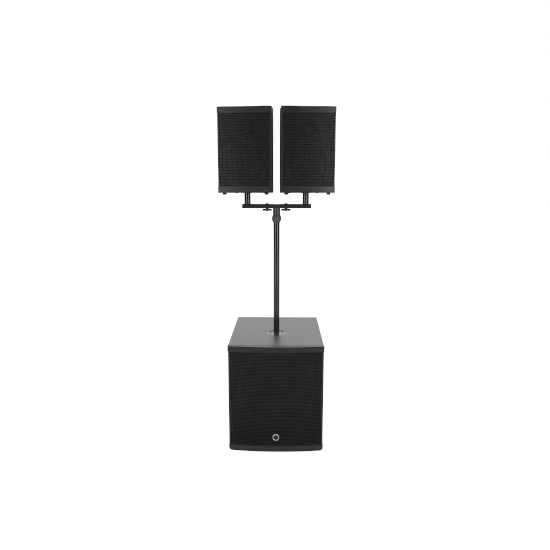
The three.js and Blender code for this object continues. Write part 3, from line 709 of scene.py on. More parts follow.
class Perforated:
    """Mesh of a bowed sheet that follows a CAD grille's outline, with sides points to a hole's edge."""

    def __init__(self, extent, bow, thickness, sides):
        low, high = extent.low.z, extent.high.z
        self.face = Bow(extent, bow)
        self.depths = (0.0, thickness)
        self.sides = sides
        self.holes = int((self.face.span - 2 * MARGIN) / PITCH)
        self.rows = int((high - low - 2 * MARGIN) / ROW)
        base = extent.centre.z - self.rows * ROW / 2
        self.levels = [low, *[base + i * ROW for i in range(self.rows + 1)], high]
        self.verts, self.faces = [], []
        columns, self.first = self.face.columns(self.holes)
        self.layers = []
        for depth in self.depths:
            self.layers.append([[self.put(*column, z, depth) for column in columns] for z in self.levels])
        self.fill(len(columns) - 1)
        self.rims(len(columns) - 1)

    def put(self, point, normal, z, depth):
        spot = point - normal * depth
        self.verts.append((spot.x, spot.y, z))
        return len(self.verts) - 1

    def edge(self, along, z, depth):
        """The edge of a hole, on the front or the rear of the sheet."""
        out = []
        for k in range(self.sides):
            angle = radians(EDGE_START[self.sides] + 360 * k / self.sides)
            point, normal = self.face.arc(along + HOLE / 2 * cos(angle))
            out.append(self.put(point, normal, z + HOLE / 2 * sin(angle), depth))
        return out

    def pierced(self, loops, along, z):
        """A cell's front and rear, from its six points to the hole's edge, and the wall of the hole."""
        edges = [self.edge(along, z, depth) for depth in self.depths]
        joins = EDGE_JOINS[self.sides]
        for layer, loop in enumerate(loops):
            for c in range(6):
                a, b = joins[c], joins[(c + 1) % 6]
                span = [(b - s) % self.sides for s in range((b - a) % self.sides + 1)]
                cell = [loop[c], loop[(c + 1) % 6], *[edges[layer][s] for s in span]]
                self.faces.append(cell if layer == 0 else cell[::-1])
        for s in range(self.sides):
            n = (s + 1) % self.sides
            self.faces.append([edges[0][s], edges[0][n], edges[1][n], edges[1][s]])

    def has_hole(self, i, k):
        """Whether the cell that starts at level i and column k has a hole; rows are staggered."""
        inside = 1 <= i <= self.rows and self.first <= k <= self.first + 2 * self.holes - 2
        return inside and (k - self.first) % 2 == (i + 1) % 2

    def fill(self, last):
        for i in range(len(self.levels) - 1):
            k = 0
            while k < last:
                holed = self.has_hole(i, k)
                step = 2 if holed else 1
                loops = []
                for grid in self.layers:
                    above = grid[i + 1][k : k + step + 1]
                    loops.append(grid[i][k : k + step + 1] + above[::-1])
                if holed:
                    along = (k + 1 - self.first - self.holes) * PITCH / 2
                    self.pierced(loops, along, (self.levels[i] + self.levels[i + 1]) / 2)
                else:
                    self.faces += [loops[0], loops[1][::-1]]
                k += step

    def rims(self, last):
        """Closes the sheet's four edges."""
        front, rear = self.layers
        for k in range(last):
            self.faces.append([front[0][k], rear[0][k], rear[0][k + 1], front[0][k + 1]])
            self.faces.append([front[-1][k + 1], rear[-1][k + 1], rear[-1][k], front[-1][k]])
        for i in range(len(self.levels) - 1):
            self.faces.append([front[i][0], front[i + 1][0], rear[i + 1][0], rear[i][0]])
            self.faces.append([front[i + 1][-1], front[i][-1], rear[i][-1], rear[i + 1][-1]])


def grille(node, bow, thickness, sides, place=None):
    sheet = Perforated(Extent(node, place), bow, thickness, sides)
    stand_in(node, "sheet", [(sheet.verts, sheet.faces)], place=place)


def grille_seals(name, edge, place=None):
    """Two strips of black foam behind the grille's sides, from edge inside the cabinet's side outwards."""
    cabinet = Extent(f"{name}_cabinet", place)
    shut = Extent(f"{name}_grille", place)
    inner, outer = cabinet.high.x - edge, cabinet.high.x - 2
    front = cabinet.low.y - 0.9
    strips = []
    for side in PAIR:
        outline = rounded_box((outer - inner) / 2, 0.7, 0.6, 3)
        centre = side * (outer + inner) / 2
        strips.append(prism([(centre + a, front + b) for a, b in outline], shut.low.z, shut.high.z))
    body = body_of(f"{name}_cabinet")
    add_piece(f"{name}_grille_seals", strips, "surround_cloth", body, place=place)


# ---------------------------------------------------------------- trims


def bowed_outline(extent, bow, edge=3, steps=32):
    """Outline in X and Y of a bar with a straight back and a bowed front, its front corners rounded."""
    half, front, back = extent.half.x, extent.low.y, extent.high.y
    radius = (half**2 + bow**2) / (2 * bow)
    reach = asin(half / radius) * 0.97
    arc = []
    for step in range(steps + 1):
        angle = reach * (2 * step / steps - 1)
        arc.append((radius * sin(angle), front + radius * (1 - cos(angle))))
    ends = ((-half, front + bow, edge), (half, front + bow, edge))
    return rounded([(-half, back), ends[0], *arc, ends[1], (half, back)])


def sub_trims():
    """Bars above and below the grille; the lower one has the cabinet's round lower corners."""
    over = 30
    for end, foot in (("top", 1), ("bottom", LOWER_CORNER)):
        node = f"sub_front_trim_{end}"
        trim = Extent(node)
        low, high = trim.low, trim.high
        bar = prism(bowed_outline(trim, SUB_BOW), low.z, high.z)
        above = high.z + over
        outline = [(low.x, above), (low.x, low.z, foot), (high.x, low.z, foot), (high.x, above)]
        mask = frontal(rounded(outline, True, 8), low.y - over, high.y + over)
        stand_in(node, "bar", carved([bar], [mask], "INTERSECT"), bevel=1.5)


# ---------------------------------------------------------------- drivers


def driver_place(prefix, place, size):
    """Frame of a driver: its axis is +Y and the plane that it is screwed to is at 0."""
    cast = Extent(f"{prefix}_basket", place)
    return place @ at(cast.centre.x, cast.low.y + size["flange"], cast.centre.z)


def cone_depth(size, radius):
    """Depth of the paper's front face at a radius."""
    share = (size["cone"] - radius) / (size["cone"] - size["coil"])
    return size["edge"] + (size["depth"] - size["edge"]) * share


def basket(prefix, size, body, place):
    """Cast frame: a flange, a windowed bell behind it and the seat of the magnet."""
    rim, lip, neck, back, wall = (size[key] for key in ("rim", "lip", "neck", "back", "wall"))
    seat = -size["flange"]
    outer = size["hole"] - 1
    inner = outer - wall
    coil = size["coil"] + 6
    profile = [
        (rim, seat, 2), (rim, -0.3), (outer, -0.3), (outer, lip, 3), (neck + wall, back - 12, 4),
        (neck + wall, back, 1), (coil, back), (coil, back - wall), (neck, back - wall, 2),
        (neck, back - 15, 4), (inner, lip - 3, 3), (inner, seat, 1),
    ]
    windows = []
    half = 0.78 * pi / size["windows"]
    for i in range(size["windows"]):
        middle = 2 * pi * (i + 0.5) / size["windows"]
        outline = []
        for radius, side in ((neck - 5, -1), (outer + 6, -1), (outer + 6, 1), (neck - 5, 1)):
            angle = middle + side * half
            outline.append((radius * cos(angle), radius * sin(angle), 9))
        windows.append(frontal(rounded(outline, True), lip + 4, back - 17))
    bell = carved([turned_y(profile, 96, True)], windows)
    stand_in(f"{prefix}_basket", "cast", bell, place=place, bevel=0.8, angle=50)
    gasket = [(inner + 1, seat), (inner + 1, seat - 2.4, 1), (outer + 3, seat - 2.4, 1), (outer + 3, seat)]
    add_piece(f"{prefix}_gasket", [turned_y(gasket, 96, True)], "surround_cloth", body, place=place)
    seats = [(a, seat, b) for a, b in circle((rim + outer + 3) / 2, 8, 0.5)]
    screws(prefix, seats, (0, -1, 0), body, place, 0.3 * (rim - outer - 3))


def magnet(prefix, size, place):
    """Top plate, ferrite ring and vented back plate round the coil's gap."""
    start = size["back"] + 0.3
    plate = 0.19 * size["magnet"]
    end = start + size["magnet"]
    outer = size["magnet_radius"]
    coil = size["coil"]
    vent = coil * 0.3
    profile = [
        (coil + 2.5, start), (outer - 8, start, 1), (outer - 8, start + plate), (outer, start + plate, 3),
        (outer, end - plate, 3), (outer - 8, end - plate), (outer - 8, end, 2), (vent, end, 2),
        (vent, start), (coil - 4, start), (coil - 4, end - plate), (coil + 2.5, end - plate),
    ]
    stand_in(f"{prefix}_magnet", "stack", [turned_y(profile, 72, True)], place=place)


def cone(prefix, size, place):
    """Ribbed paper cone with a domed dust cap in front and the coil's former behind."""
    edge, cap, coil, paper, end = (size[key] for key in ("cone", "cap", "coil", "paper", "coil_end"))
    ribs = [edge * share for share in (0.88, 0.76, 0.64)]
    inner = cap - 2 * paper

    def front(radius):
        rise = sum(0.9 * exp(-(((radius - rib) / 2.2) ** 2)) for rib in ribs)
        return cone_depth(size, radius) - rise

    def dome(radius, height, steps=10):
        base = cone_depth(size, cap)
        angles = [pi / 2 * step / steps for step in range(steps)]
        return [(radius * sin(a), base - height * cos(a)) for a in angles]

    def sheet(start, end, offset, steps=64):
        radii = [start + (end - start) * step / steps for step in range(steps + 1)]
        return [(radius, front(radius) + offset) for radius in radii]

    profile = [*dome(cap, size["cap_height"]), *sheet(cap, edge, 0), *sheet(edge, coil, paper)]
    profile += [(coil, end), (coil - 1.5, end), (coil - 1.5, cone_depth(size, coil))]
    profile += [(inner, cone_depth(size, inner)), *reversed(dome(inner, size["cap_height"] - paper))]
    stand_in(f"{prefix}_cone", "paper", [turned_y(profile, 96)], place=place)


def surround(prefix, size, place):
    """Two-roll cloth surround, shaped to span between the frame and the cone; it is fixed and rides on no
    body.
    """
    inner = size["cone"] - 1
    outer = size["hole"] - 1.3 - size["wall"]
    front = -size["flange"] + 1.5
    drop = size["edge"] - 0.6 - front
    steps = 40
    face = []
    for step in range(steps + 1):
        share = step / steps
        level = front + drop * (0.5 - 0.5 * cos(pi * share))
        wave = size["roll"] * sin(3 * pi * share) * sin(pi * share)
        face.append((outer + (inner - outer) * share, level - wave))
    profile = [*face, *[(r, d + 0.5) for r, d in reversed(face)]]
    node = f"{prefix}_surround"
    piece = add_piece(f"{node}_cloth", [turned_y(profile, 96)], "surround_cloth", None, (node,), place)
    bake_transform(piece)


def driver(prefix, size, bodies, place=Matrix.Identity(4)):
    spot = driver_place(prefix, place, size)
    basket(prefix, size, bodies[0], spot)
    magnet(prefix, size, spot)
    cone(prefix, size, spot)
    surround(prefix, size, spot)


# ---------------------------------------------------------------- subwoofer


def badge():
    """Plain round badge: a turned satin ring about a dark centre."""
    spot = Extent("sub_badge")
    radius = spot.half.x
    deep = 2 * spot.half.y
    inner = 0.76 * radius
    ring = [
        (inner, 0), (inner, 0.7 * deep, 0.3), (0.81 * radius, deep, 0.5), (0.94 * radius, deep, 0.5),
        (radius, 0.6 * deep, 0.4), (radius, 0),
    ]
    wide = 0.78 * radius
    centre = [(0, 0.35 * deep), (0.4 * radius, 0.32 * deep), (wide, 0.2 * deep), (wide, 0), (0, 0)]
    place = at(0, spot.high.y, spot.centre.z) @ Matrix.Rotation(pi / 2, 4, "X")
    stand_in("sub_badge", "ring", [turned(ring, 72, True)], place=place)
    add_piece("sub_badge_centre", [turned(centre, 72)], "socket_plastic", "subwoofer", place=place)


def sub_feet():
    """Rubber feet with a recess for their screws."""
    for row in ("front", "rear"):
        for word in SIDES:
            foot = Extent(f"sub_foot_{row}_{word}")
            radius, tall = foot.half.x, foot.high.z
            profile = [
                (0, 3), (7, 3, 1), (9, 0, 1), (radius - 4, 0, 2), (radius - 1, 3, 2),
                (radius, tall - 1.5, 1), (radius - 1, tall), (0, tall),
            ]
            stand_in(f"sub_foot_{row}_{word}", "pad", [turned(profile)], place=foot.axis)


def handle(word):
    """Moulded dish with a round flange and a grip bar across it."""
    node = f"sub_handle_{word}"
    side = SIDES[word]
    dish = Extent(node)
    centre = dish.centre
    _, half_y, half_z = dish.half
    face = Extent("sub_cabinet").high.x
    proud = max(abs(dish.low.x), abs(dish.high.x)) - face
    back = proud - 2 * dish.half.x
    lip = 12
    stations = [
        (back, lip, 14), (0.3, lip, 14), (0.3, 0, 24), (proud - 0.5, 0, 24), (proud, 0.6, 23),
        (proud, lip + 1, 13), (proud - 0.5, lip + 1.9, 12.5), (proud - 2, lip + 2.6, 12),
        (back + 6, lip + 6, 10), (back + 3.6, lip + 7.5, 9), (back + 3, lip + 10, 8),
    ]
    rings = []
    for depth, inset, radius in stations:
        loop = rounded_box(half_y - inset, half_z - inset, radius)
        rings.append([(side * (face + depth), centre.y + a, centre.z + b) for a, b in loop])
    reach = half_y - lip - 2
    thick, taper = 10, 14
    profile = [
        (0, -reach), (thick + 3, -reach), (thick, taper - reach, 20), (thick, reach - taper, 20),
        (thick + 3, reach), (0, reach),
    ]
    spot = at(side * (face - thick - 1), centre.y, centre.z + half_z - lip - 30)
    bar = moved(lathe(rounded(profile, steps=6), 40), spot @ ABOUT_Y)
    stand_in(node, "moulding", [loft(rings), bar], sharp=50)
    seats = [*corners(half_y - 10.6, half_z - 10.6), *[(0, b * (half_z - 6)) for b in PAIR]]
    spots = [(side * (face + proud), centre.y + a, centre.z + b) for a, b in seats]
    screws(node, spots, (side, 0, 0), "subwoofer")


def pole_flange():
    """Socket for the pole: a plate let into the lid, with a raised lip round the bore."""
    node = "sub_pole_flange"
    flange = Extent(node)
    tube_box = Extent("pole_outer_tube")
    radius, low, top = flange.half.x, flange.low.z, flange.high.z
    bore = tube_box.high.x + 0.4
    bottom = tube_box.low.z - 0.3
    barrel, plate, raised = 22, 3, 2
    profile = [
        (0, low), (barrel, low, 1), (barrel, top - plate), (radius, top - plate), (radius, top, 0.8),
        (bore + 7, top, 1), (bore + 5, top + raised, 1), (bore, top + raised, 0.8), (bore, bottom),
        (0, bottom),
    ]
    stand_in(node, "socket", [turned(profile, 96)], place=flange.axis)
    seats = [(a, b, top) for a, b in circle((radius + bore + 7) / 2, 6, 0.5)]
    screws(node, seats, (0, 0, 1), "subwoofer", flange.axis, 4.5)


# ---------------------------------------------------------------- amplifier


def knob(node):
    """Ribbed knob with a pale pointer line."""
    spot = Extent(node)
    radius, face = spot.half.x, spot.high.y
    place = at(spot.centre.x, 0, spot.centre.z)
    ribs = 30
    back = face - 11
    levels = [
        (-12, 0.98, 0), (-11, 1.0, 0.5), (-2.5, 0.95, 0.5), (-1, 0.9, 0.2), (-0.2, 0.82, 0),
        (0, 0.74, 0), (-0.5, 0.3, 0),
    ]

    def ring(depth, share, rib):
        def reach(angle):
            return radius * share - rib * (0.5 - 0.5 * cos(ribs * angle))

        return polar(reach, ribs * 4, face + depth)

    grip = moved(loft([ring(*level) for level in levels]), ABOUT_Y)
    shaft = turned_y([(0, spot.low.y), (3, spot.low.y), (3, back), (0, back)], 24)
    stand_in(node, "grip", [shaft, grip], place=place, sharp=50)
    line = box((-0.6, face - 0.5, 0.3 * radius), (0.6, face + 0.1, 0.86 * radius))
    add_piece(f"{node}_pointer", [line], "badge_metal", body_of(node), place=place, bevel=0.15)


def knob_scales():
    """Eleven dots round each knob, from its low stop to its high stop."""
    face = Extent("sub_amp_plate").high.y
    dot = [(0, 0), (0.9, 0), (0.9, 0.12), (0.7, 0.25), (0, 0.25)]
    radius = 17
    for name in ("level", "crossover"):
        x, _, z = joint_spot(f"{name}_knob_turn")
        low, high = JOINTS[f"{name}_knob_turn"]["range_deg"]
        angles = [radians(low + (high - low) * i / 10) for i in range(11)]
        spots = [at(x + radius * sin(a), face, z + radius * cos(a)) for a in angles]
        dots = [turned_y(dot, 16, place=spot) for spot in spots]
        add_piece(f"sub_{name}_scale", dots, "badge_metal", "subwoofer")


def indicator_lenses():
    """Three pilot lenses beside the knobs, unlit."""
    face = Extent("sub_amp_plate").high.y
    x, _, z = joint_spot("crossover_knob_turn")
    profile = [(0, 1.6), (1.4, 1.2), (1.9, 0.5), (1.9, 0), (0, 0)]
    lenses = [turned_y(profile, 24, place=at(x + 32, face, z + i * 9)) for i in (-1, 0, 1)]
    add_piece("sub_indicator_lenses", lenses, "badge_metal", "subwoofer")


def rocker():
    """Mains switch: two shallow wings about a pivot, its lower end pressed in."""
    node = "sub_power_switch"
    half = Extent(node).half.x
    wings = [(5.2, 0, 3), (8.1, 6.4, 1.2), (2, 10, 1), (-3, 5), (-3, -5), (2, -10, 1), (8.1, -6.4, 1.2)]
    part = lateral(rounded(wings, True, 5), -half, half)
    place = at(*joint_spot("power_switch_rock")) @ Matrix.Rotation(radians(-8), 4, "X")
    stand_in(node, "rocker", [part], "socket_plastic", place=place, bevel=0.5, angle=50)


def speaker_socket(rim=13):
    """Round locking speaker socket about +Y: a lipped barrel, a core with a slot and two keys."""
    bore, core, slot = 9.8, 6.4, 4.2
    barrel = [
        (bore, -11), (bore, 4, 0.6), (rim - 1, 4.4, 1), (rim, 1.6, 0.6), (rim, 0), (11.8, 0),
        (11.8, -12), (0, -12), (0, -11),
    ]
    post = [(0, -11), (core, -11), (core, 1, 0.8), (slot, 1, 0.5), (slot, -6), (0, -6)]
    parts = [turned_y(outline, 48) for outline in (barrel, post)]
    for side in PAIR:
        key = box((-0.9, -10, -1.6), (0.9, 2.6, 1.6))
        parts.append(moved(key, at(side * (bore - 0.6), 0, 0)))
    return parts


def signal_socket(bore=8.5):
    """Three-pole signal socket about +Y: its barrel and latch, and an insert with three contacts."""
    barrel = [
        (bore, -8), (bore, 4, 0.6), (11, 4.4, 0.8), (11.8, 2, 0.6), (11.8, -12), (0, -12), (0, -8),
    ]
    latch = box((-3, 1, 8.4), (3, 5, 12.6))
    insert = [(0, -8.2), (bore - 1.2, -8.2), (bore - 1.2, 0, 0.6), (0, 0)]
    contact = [(0, 0), (1.3, 0), (1.3, 8), (0, 8)]
    holes = [turned_y(contact, 20, place=at(a, -5, b)) for a, b in circle(4, 3, 0.75)]
    return [turned_y(barrel, 48), latch], carved([turned_y(insert, 48)], holes)


def socket_flange(node):
    """Place of a chassis socket, and its flange with two screws."""
    spot = Extent(node)
    face = Extent("sub_amp_plate").high.y + 0.3
    thick, inset = 2, 3
    place = at(spot.centre.x, face + thick, spot.centre.z)
    half_x, _, half_z = spot.half
    seats = [(side * (half_x - inset), 0, side * (half_z - inset)) for side in PAIR]
    screws(node, seats, (0, 1, 0), "subwoofer", place, 2)
    return place, frontal(rounded_box(half_x, half_z, inset), -thick, 0)


def chassis_sockets():
    """Sockets in the amplifier's plate."""
    for word in SIDES:
        node = f"sub_speaker_output_{word}"
        place, flange = socket_flange(node)
        stand_in(node, "socket", [flange, *speaker_socket()], place=place, bevel=0.3)
    node = "sub_signal_input"
    place, flange = socket_flange(node)
    parts, insert = signal_socket()
    stand_in(node, "socket", [flange, *parts], place=place, bevel=0.3)
    add_piece(f"{node}_insert", insert, "socket_plastic", "subwoofer", place=place)


def mains_inlet():
    """Appliance inlet: the CAD moulding with round edges, three blades and a fuse drawer."""
    refined("sub_mains_inlet", 0.4)
    inlet = Extent("sub_mains_inlet")
    x, face, bottom = inlet.centre.x, inlet.high.y, inlet.low.z
    blade = box((-1, -17, -2), (1, -3, 2))
    spots = ((-7, 12), (0, 16), (7, 12))
    blades = [moved(blade, at(x + across, face, bottom + up)) for across, up in spots]
    add_piece("sub_mains_inlet_blades", blades, "magnet_steel", "subwoofer", bevel=0.4)
    drawer = frontal(rounded_box(11.5, 2.6, 1), -1, 1.2)
    place = at(x, face, bottom + 27.5)
    add_piece("sub_fuse_drawer", [drawer], "socket_plastic", "subwoofer", place=place, bevel=0.3)


def amplifier():
    refined("sub_amp_plate", 0.6)
    refined("sub_amp_heatsink", 0.4)
    plate = Extent("sub_amp_plate")
    inset = 7
    half_x, half_z = plate.half.x - inset, plate.half.z - inset
    spots = [(side * half_x, half_z * i / 2) for side in PAIR for i in range(-2, 3)]
    spots += [(0, side * half_z) for side in PAIR]
    seats = [(plate.centre.x + a, plate.high.y, plate.centre.z + b) for a, b in spots]
    screws("sub_amp_plate", seats, (0, 1, 0), "subwoofer", radius=4.2)
    knob("sub_level_knob")
    knob("sub_crossover_knob")
    knob_scales()
    indicator_lenses()
    rocker()
    chassis_sockets()
    mains_inlet()


def subwoofer():
    refined("sub_cabinet", 0.86)
    sub_trims()
    grille("sub_grille", SUB_BOW, 1.5, 10)
    grille_seals("sub", 18)
    driver("sub_woofer", SUB_DRIVER, ("subwoofer", "sub_cone"))
    badge()
    sub_feet()
    pole_flange()
    for word in SIDES:
        handle(word)
    amplifier()


# ---------------------------------------------------------------- pole


def tube(node, profile):
    stand_in(node, "drawn", [lathe(rounded(profile, True, 3), 64)], place=Extent(node).axis)


def tubes():
    """The pole's two tubes; the inner one's upper end is as wide as the outer one."""
    outer, inner = Extent("pole_outer_tube"), Extent("pole_inner_tube")
    low, high = outer.low.z, outer.high.z
    bore = POLE_RADIUS - 2.2
    tube("pole_outer_tube", [(POLE_RADIUS, low, 0.8), (POLE_RADIUS, high, 0.8), (bore, high), (bore, low)])
    low, high = inner.low.z, inner.high.z
    shoulder = Extent("pole_clamp_collar").high.z + 2
    slim, bore = 15, 13
    profile = [
        (slim, low, 0.8), (slim, shoulder), (POLE_RADIUS, shoulder, 0.8), (POLE_RADIUS, high, 1.5),
        (bore, high), (bore, low),
    ]
    tube("pole_inner_tube", profile)


def collar():
    """Clamping collar with twelve finger lobes, which turns on the outer tube's end."""
    node = "pole_clamp_collar"
    spot = Extent(node)
    low, high = spot.low.z, spot.high.z
    step = Extent("pole_outer_tube").high.z + 0.6
    bore, wide = 15.3, 17.8
    lobes = 12
    levels = [
        (low, wide, 0), (low, 20.7, 0), (low + 0.8, 21.5, 0), (low + 10, 23.6, 0),
        (low + 12.5, 25.2, 0.2), (low + 15, 26, 1), (high - 15, 26, 1), (high - 12, 25.2, 0.2),
        (high - 9, 24, 0), (high - 1, 21.6, 0), (high, 20.6, 0), (high, bore, 0), (step, bore, 0),
        (step, wide, 0),
    ]

    def ring(level, radius, lobe):
        return polar(lambda angle: radius + lobe * cos(lobes * angle), lobes * 12, level)

    rings = [ring(*level) for level in levels]
    stand_in(node, "grip", [loft(rings, closed=True)], place=spot.axis)


# ---------------------------------------------------------------- bracket


def weld(radius, level, beads=26, steps=6):
    """Rippled weld bead round a tube that stands on a plate at a level."""
    rings = []
    for j in range(steps + 1):
        around = pi / 2 * j / steps
        ring = []
        for k in range(beads * steps):
            angle = 2 * pi * k / (beads * steps)
            swell = 2 * (1 + 0.12 * cos(beads * angle))
            reach = radius - 0.2 + swell * cos(around)
            ring.append((reach * cos(angle), reach * sin(angle), level + swell * sin(around)))
        rings.append(ring)
    return loft(rings)


def centre_bar():
    """Flat bar inside both arms, on a sleeve that drops over the pole's end."""
    node = "bracket_center_bar"
    spot = Extent(node)
    half_x, half_y = spot.half.x, 21
    low, high = Extent("pole_inner_tube").high.z + 0.3, spot.high.z
    bar = box((-half_x, -half_y, low), (half_x, half_y, high))
    shank = [(0, low - 1), (4.4, low - 1), (4.4, high + 1), (0, high + 1)]
    bolt_x = joint_spot("wing_nut_right_turn").x
    holes = [moved(turned(shank, 32), at(side * bolt_x, 0, 0)) for side in PAIR]
    stand_in(node, "flat", carved([bar], holes), place=spot.axis, bevel=0.8)
    foot = spot.low.z
    sleeve = [(SLEEVE_BORE, foot, 0.6), (SLEEVE_RADIUS, foot, 1), (SLEEVE_RADIUS, low), (SLEEVE_BORE, low)]
    bead = moved(weld(SLEEVE_RADIUS, -low), Matrix.Diagonal((1, 1, -1, 1)))
    parts = [turned(sleeve, closed=True), bead]
    add_piece("bracket_sleeve", parts, "pole_steel", "bracket", place=spot.axis)


def channel(word, low, top, half, inner_end, outer_end):
    """A channel open below, closed at its outer end and slotted for its bolt's whole travel."""
    wall = 3
    width = 4.4
    outside = [(-half, low), (-half, top, 4), (half, top, 4), (half, low)]
    inside = half - wall
    hollow = [(inside, low), (inside, top - wall, 1), (-inside, top - wall, 1), (-inside, low)]
    long = lateral(rounded([*outside, *hollow], True, 5), inner_end, outer_end)
    cap = lateral(rounded(outside, True, 5), outer_end - wall, outer_end)
    near = joint_spot(f"wing_nut_{word}_turn").x * SIDES[word] + width
    far = near - 2 * width - JOINTS[f"arm_{word}_slide"]["range_m"][1] / MM
    ends = [(near, -width), (near, width), (far, width), (far, -width)]
    slot = prism(rounded([(*end, 0.98 * width) for end in ends], True, 10), top - 2 * wall, top + wall)
    flip = Matrix.Diagonal((SIDES[word], 1, 1, 1))
    return carved([moved(long, flip), moved(cap, flip)], [moved(slot, flip)])


def arm(word):
    """Channel that slides over the centre bar, with the stub for a top."""
    node = f"bracket_arm_{word}"
    spot = Extent(node)
    top = Extent(f"bracket_bolt_{word}").high.z - 5.7
    ends = sorted((abs(spot.low.x), abs(spot.high.x)))
    place = at(0, spot.centre.y, 0)
    stand_in(node, "channel", channel(word, spot.low.z, top, spot.half.y, *ends), place=place, bevel=0.7)
    high = spot.high.z
    stub = [(STUB_BORE, top - 1), (POLE_RADIUS, top - 1), (POLE_RADIUS, high, 1.5), (STUB_BORE, high, 0.5)]
    axis = at(joint_spot(f"top_{word}_swivel").x, 0, 0)
    parts = [moved(part, axis) for part in (turned(stub, closed=True), weld(POLE_RADIUS, top))]
    add_piece(f"{node}_stub", parts, "pole_steel", body_of(node), place=place)


def bolt(word):
    """Cup-head bolt with a washer above the arm and thread below the wing nut."""
    node = f"bracket_bolt_{word}"
    spot = Extent(node)
    low = spot.low.z
    seat = spot.high.z - 5.4
    profile = [
        (0, low), (3.4, low, 0.3), (4, low + 1), (4, seat), (10, seat), (10, seat + 1.6, 0.5),
        (8.4, seat + 1.6), (7.6, seat + 3.9, 2), (4.2, seat + 5.2, 3), (0, spot.high.z),
    ]
    stand_in(node, "head", [turned(profile, 48)], place=spot.axis)


def wing_nut(word):
    """Cast wing nut: a tapered neck and two round-ended wings."""
    node = f"bracket_wing_nut_{word}"
    spot = Extent(node)
    low, high, half = spot.low.z, spot.high.z, spot.half.x
    neck = [
        (4.4, low), (7, low, 1), (8.4, low + 5, 2), (10, high - 2, 1), (10, high, 0.5), (4.4, high),
    ]
    wing = [
        (6, low + 1), (half - 8, low, 3), (half, low + 0.5, 4.5), (half, low + 11, 4.5),
        (half - 10, low + 11, 4), (6, low + 9),
    ]
    parts = [turned(neck, 48, True)]
    for side in PAIR:
        parts.append(frontal([(side * a, b) for a, b in rounded(wing, True, 5)], -2.6, 2.6))
    stand_in(node, "cast", parts, place=spot.axis, bevel=1.1)


# ---------------------------------------------------------------- tops


def horn(word, place):
    """Round horn with a lipped mouth, on the board that the woofer's frame is screwed to."""
    node = f"top_{word}_horn"
    spot = Extent(node, place)
    flange = spot.half.x
    mouth, throat, deep = 58, 12.7, 60
    lip, wall = -4, 3
    steps = 24

    def flare(share, offset=0.0):
        return throat + (mouth - throat) * (1 - share) ** 1.7 + offset, -2 + (deep + 2) * share

    profile = [
        *[flare(step / steps) for step in range(steps, -1, -1)],
        (mouth + 1.5, lip, 1.2), (flange - 1, lip, 0.8), (flange, lip + 1, 0.8), (flange, -0.3),
        (mouth + wall, -0.3), *[flare(step / 12, wall) for step in range(2, 10)],
        (28, deep - 5, 1), (28, deep),
    ]
    seat = place @ at(spot.centre.x, spot.low.y - lip, spot.centre.z)
    stand_in(node, "flare", [turned_y(profile, 96, True)], place=seat)
    seats = [(a, lip, b) for a, b in circle(flange - 4, 4, 0.5)]
    screws(node, seats, (0, -1, 0), f"top_{word}", seat, 2.4)
    compression_driver(word, seat, deep + 0.3)


def compression_driver(word, place, start):
    """Driver behind the horn, and its bullet-shaped plug, which stands in the horn's throat."""
    shares = [step / 12 for step in range(13)]
    bullet = [(8 * sqrt(share), start - 22 + 20 * share**1.4) for share in shares]
    base = start - 0.1
    plug = turned_y([*bullet, (8, start - 1), (12.4, start - 1), (12.4, base), (0, base)], 48)
    add_piece(f"top_{word}_horn_plug", [plug], "socket_plastic", f"top_{word}", place=place)
    outline = [
        (0, start), (28, start), (28, start + 4), (43, start + 4, 2), (43, start + 38, 3),
        (38, start + 44, 3), (0, start + 44),
    ]
    stand_in(f"top_{word}_compression_driver", "body", [turned_y(outline)], place=place)


def connector_plate(word, place):
    """Plate let into the rear panel, with two speaker sockets and four screws."""
    node = f"top_{word}_connector_plate"
    plate = Extent(node, place)
    half_x, _, half_z = plate.half
    spot = place @ at(plate.centre.x, plate.high.y, plate.centre.z)
    spread = 26
    barrel = [(0, -5), (12.4, -5), (12.4, 5), (0, 5)]
    holes = [turned_y(barrel, 48, place=at(side * spread, 0, 0)) for side in PAIR]
    sheet = carved([frontal(rounded_box(half_x, half_z, 4), -2.2, 0)], holes)
    stand_in(node, "sheet", sheet, place=spot, bevel=0.5)
    for side, end in zip(PAIR, "ab"):
        socket = spot @ at(side * spread, -4.6, 0)
        name = f"{node}_socket_{end}"
        add_piece(name, speaker_socket(rim=12.2), "socket_plastic", f"top_{word}", place=socket)
    seats = [(a, 0, b) for a, b in corners(half_x - 6, half_z - 6)]
    screws(node, seats, (0, 1, 0), f"top_{word}", spot, 3.4)


def pole_cup(word, place):
    """Steel cup in the underside that drops over the stub."""
    node = f"top_{word}_pole_cup"
    cup = Extent(node, place)
    radius, high = cup.half.x, cup.high.z
    plate, end = 2.5, high - 3
    profile = [
        (0, end), (SLEEVE_BORE, end), (SLEEVE_BORE, 0, 0.8), (radius, 0, 0.6), (radius, plate),
        (SLEEVE_RADIUS, plate), (SLEEVE_RADIUS, high, 1), (0, high),
    ]
    stand_in(node, "pressing", [turned(profile)], place=place)
    seats = [(a, b, 0) for a, b in circle((radius + SLEEVE_BORE) / 2 + 2, 4, 0.5)]
    screws(node, seats, (0, 0, -1), f"top_{word}", place, 3)


def top_feet(word, place):
    """A pair of rubber feet at the front edge of a top, and a pair of low pads at the rear."""
    cabinet = Extent(f"top_{word}_cabinet", place)

    def foot(wide, tall):
        hollow = -0.7 * tall
        return [
            (0, 0), (wide, 0), (wide, -0.4 * tall, 1), (wide - 1.4, -tall, 1.5), (3.6, -tall, 0.6),
            (3.2, hollow), (0, hollow),
        ]

    pads = []
    front = (cabinet.high.x - 31, cabinet.low.y + 20, 11, 10.5)
    rear = (cabinet.high.x - 66, cabinet.high.y - 38, 9, 3)
    for x, y, wide, tall in (front, rear):
        pads += [moved(turned(foot(wide, tall), 40), at(side * x, y, 0)) for side in PAIR]
    add_piece(f"top_{word}_feet", pads, "foot_rubber", f"top_{word}", place=place)


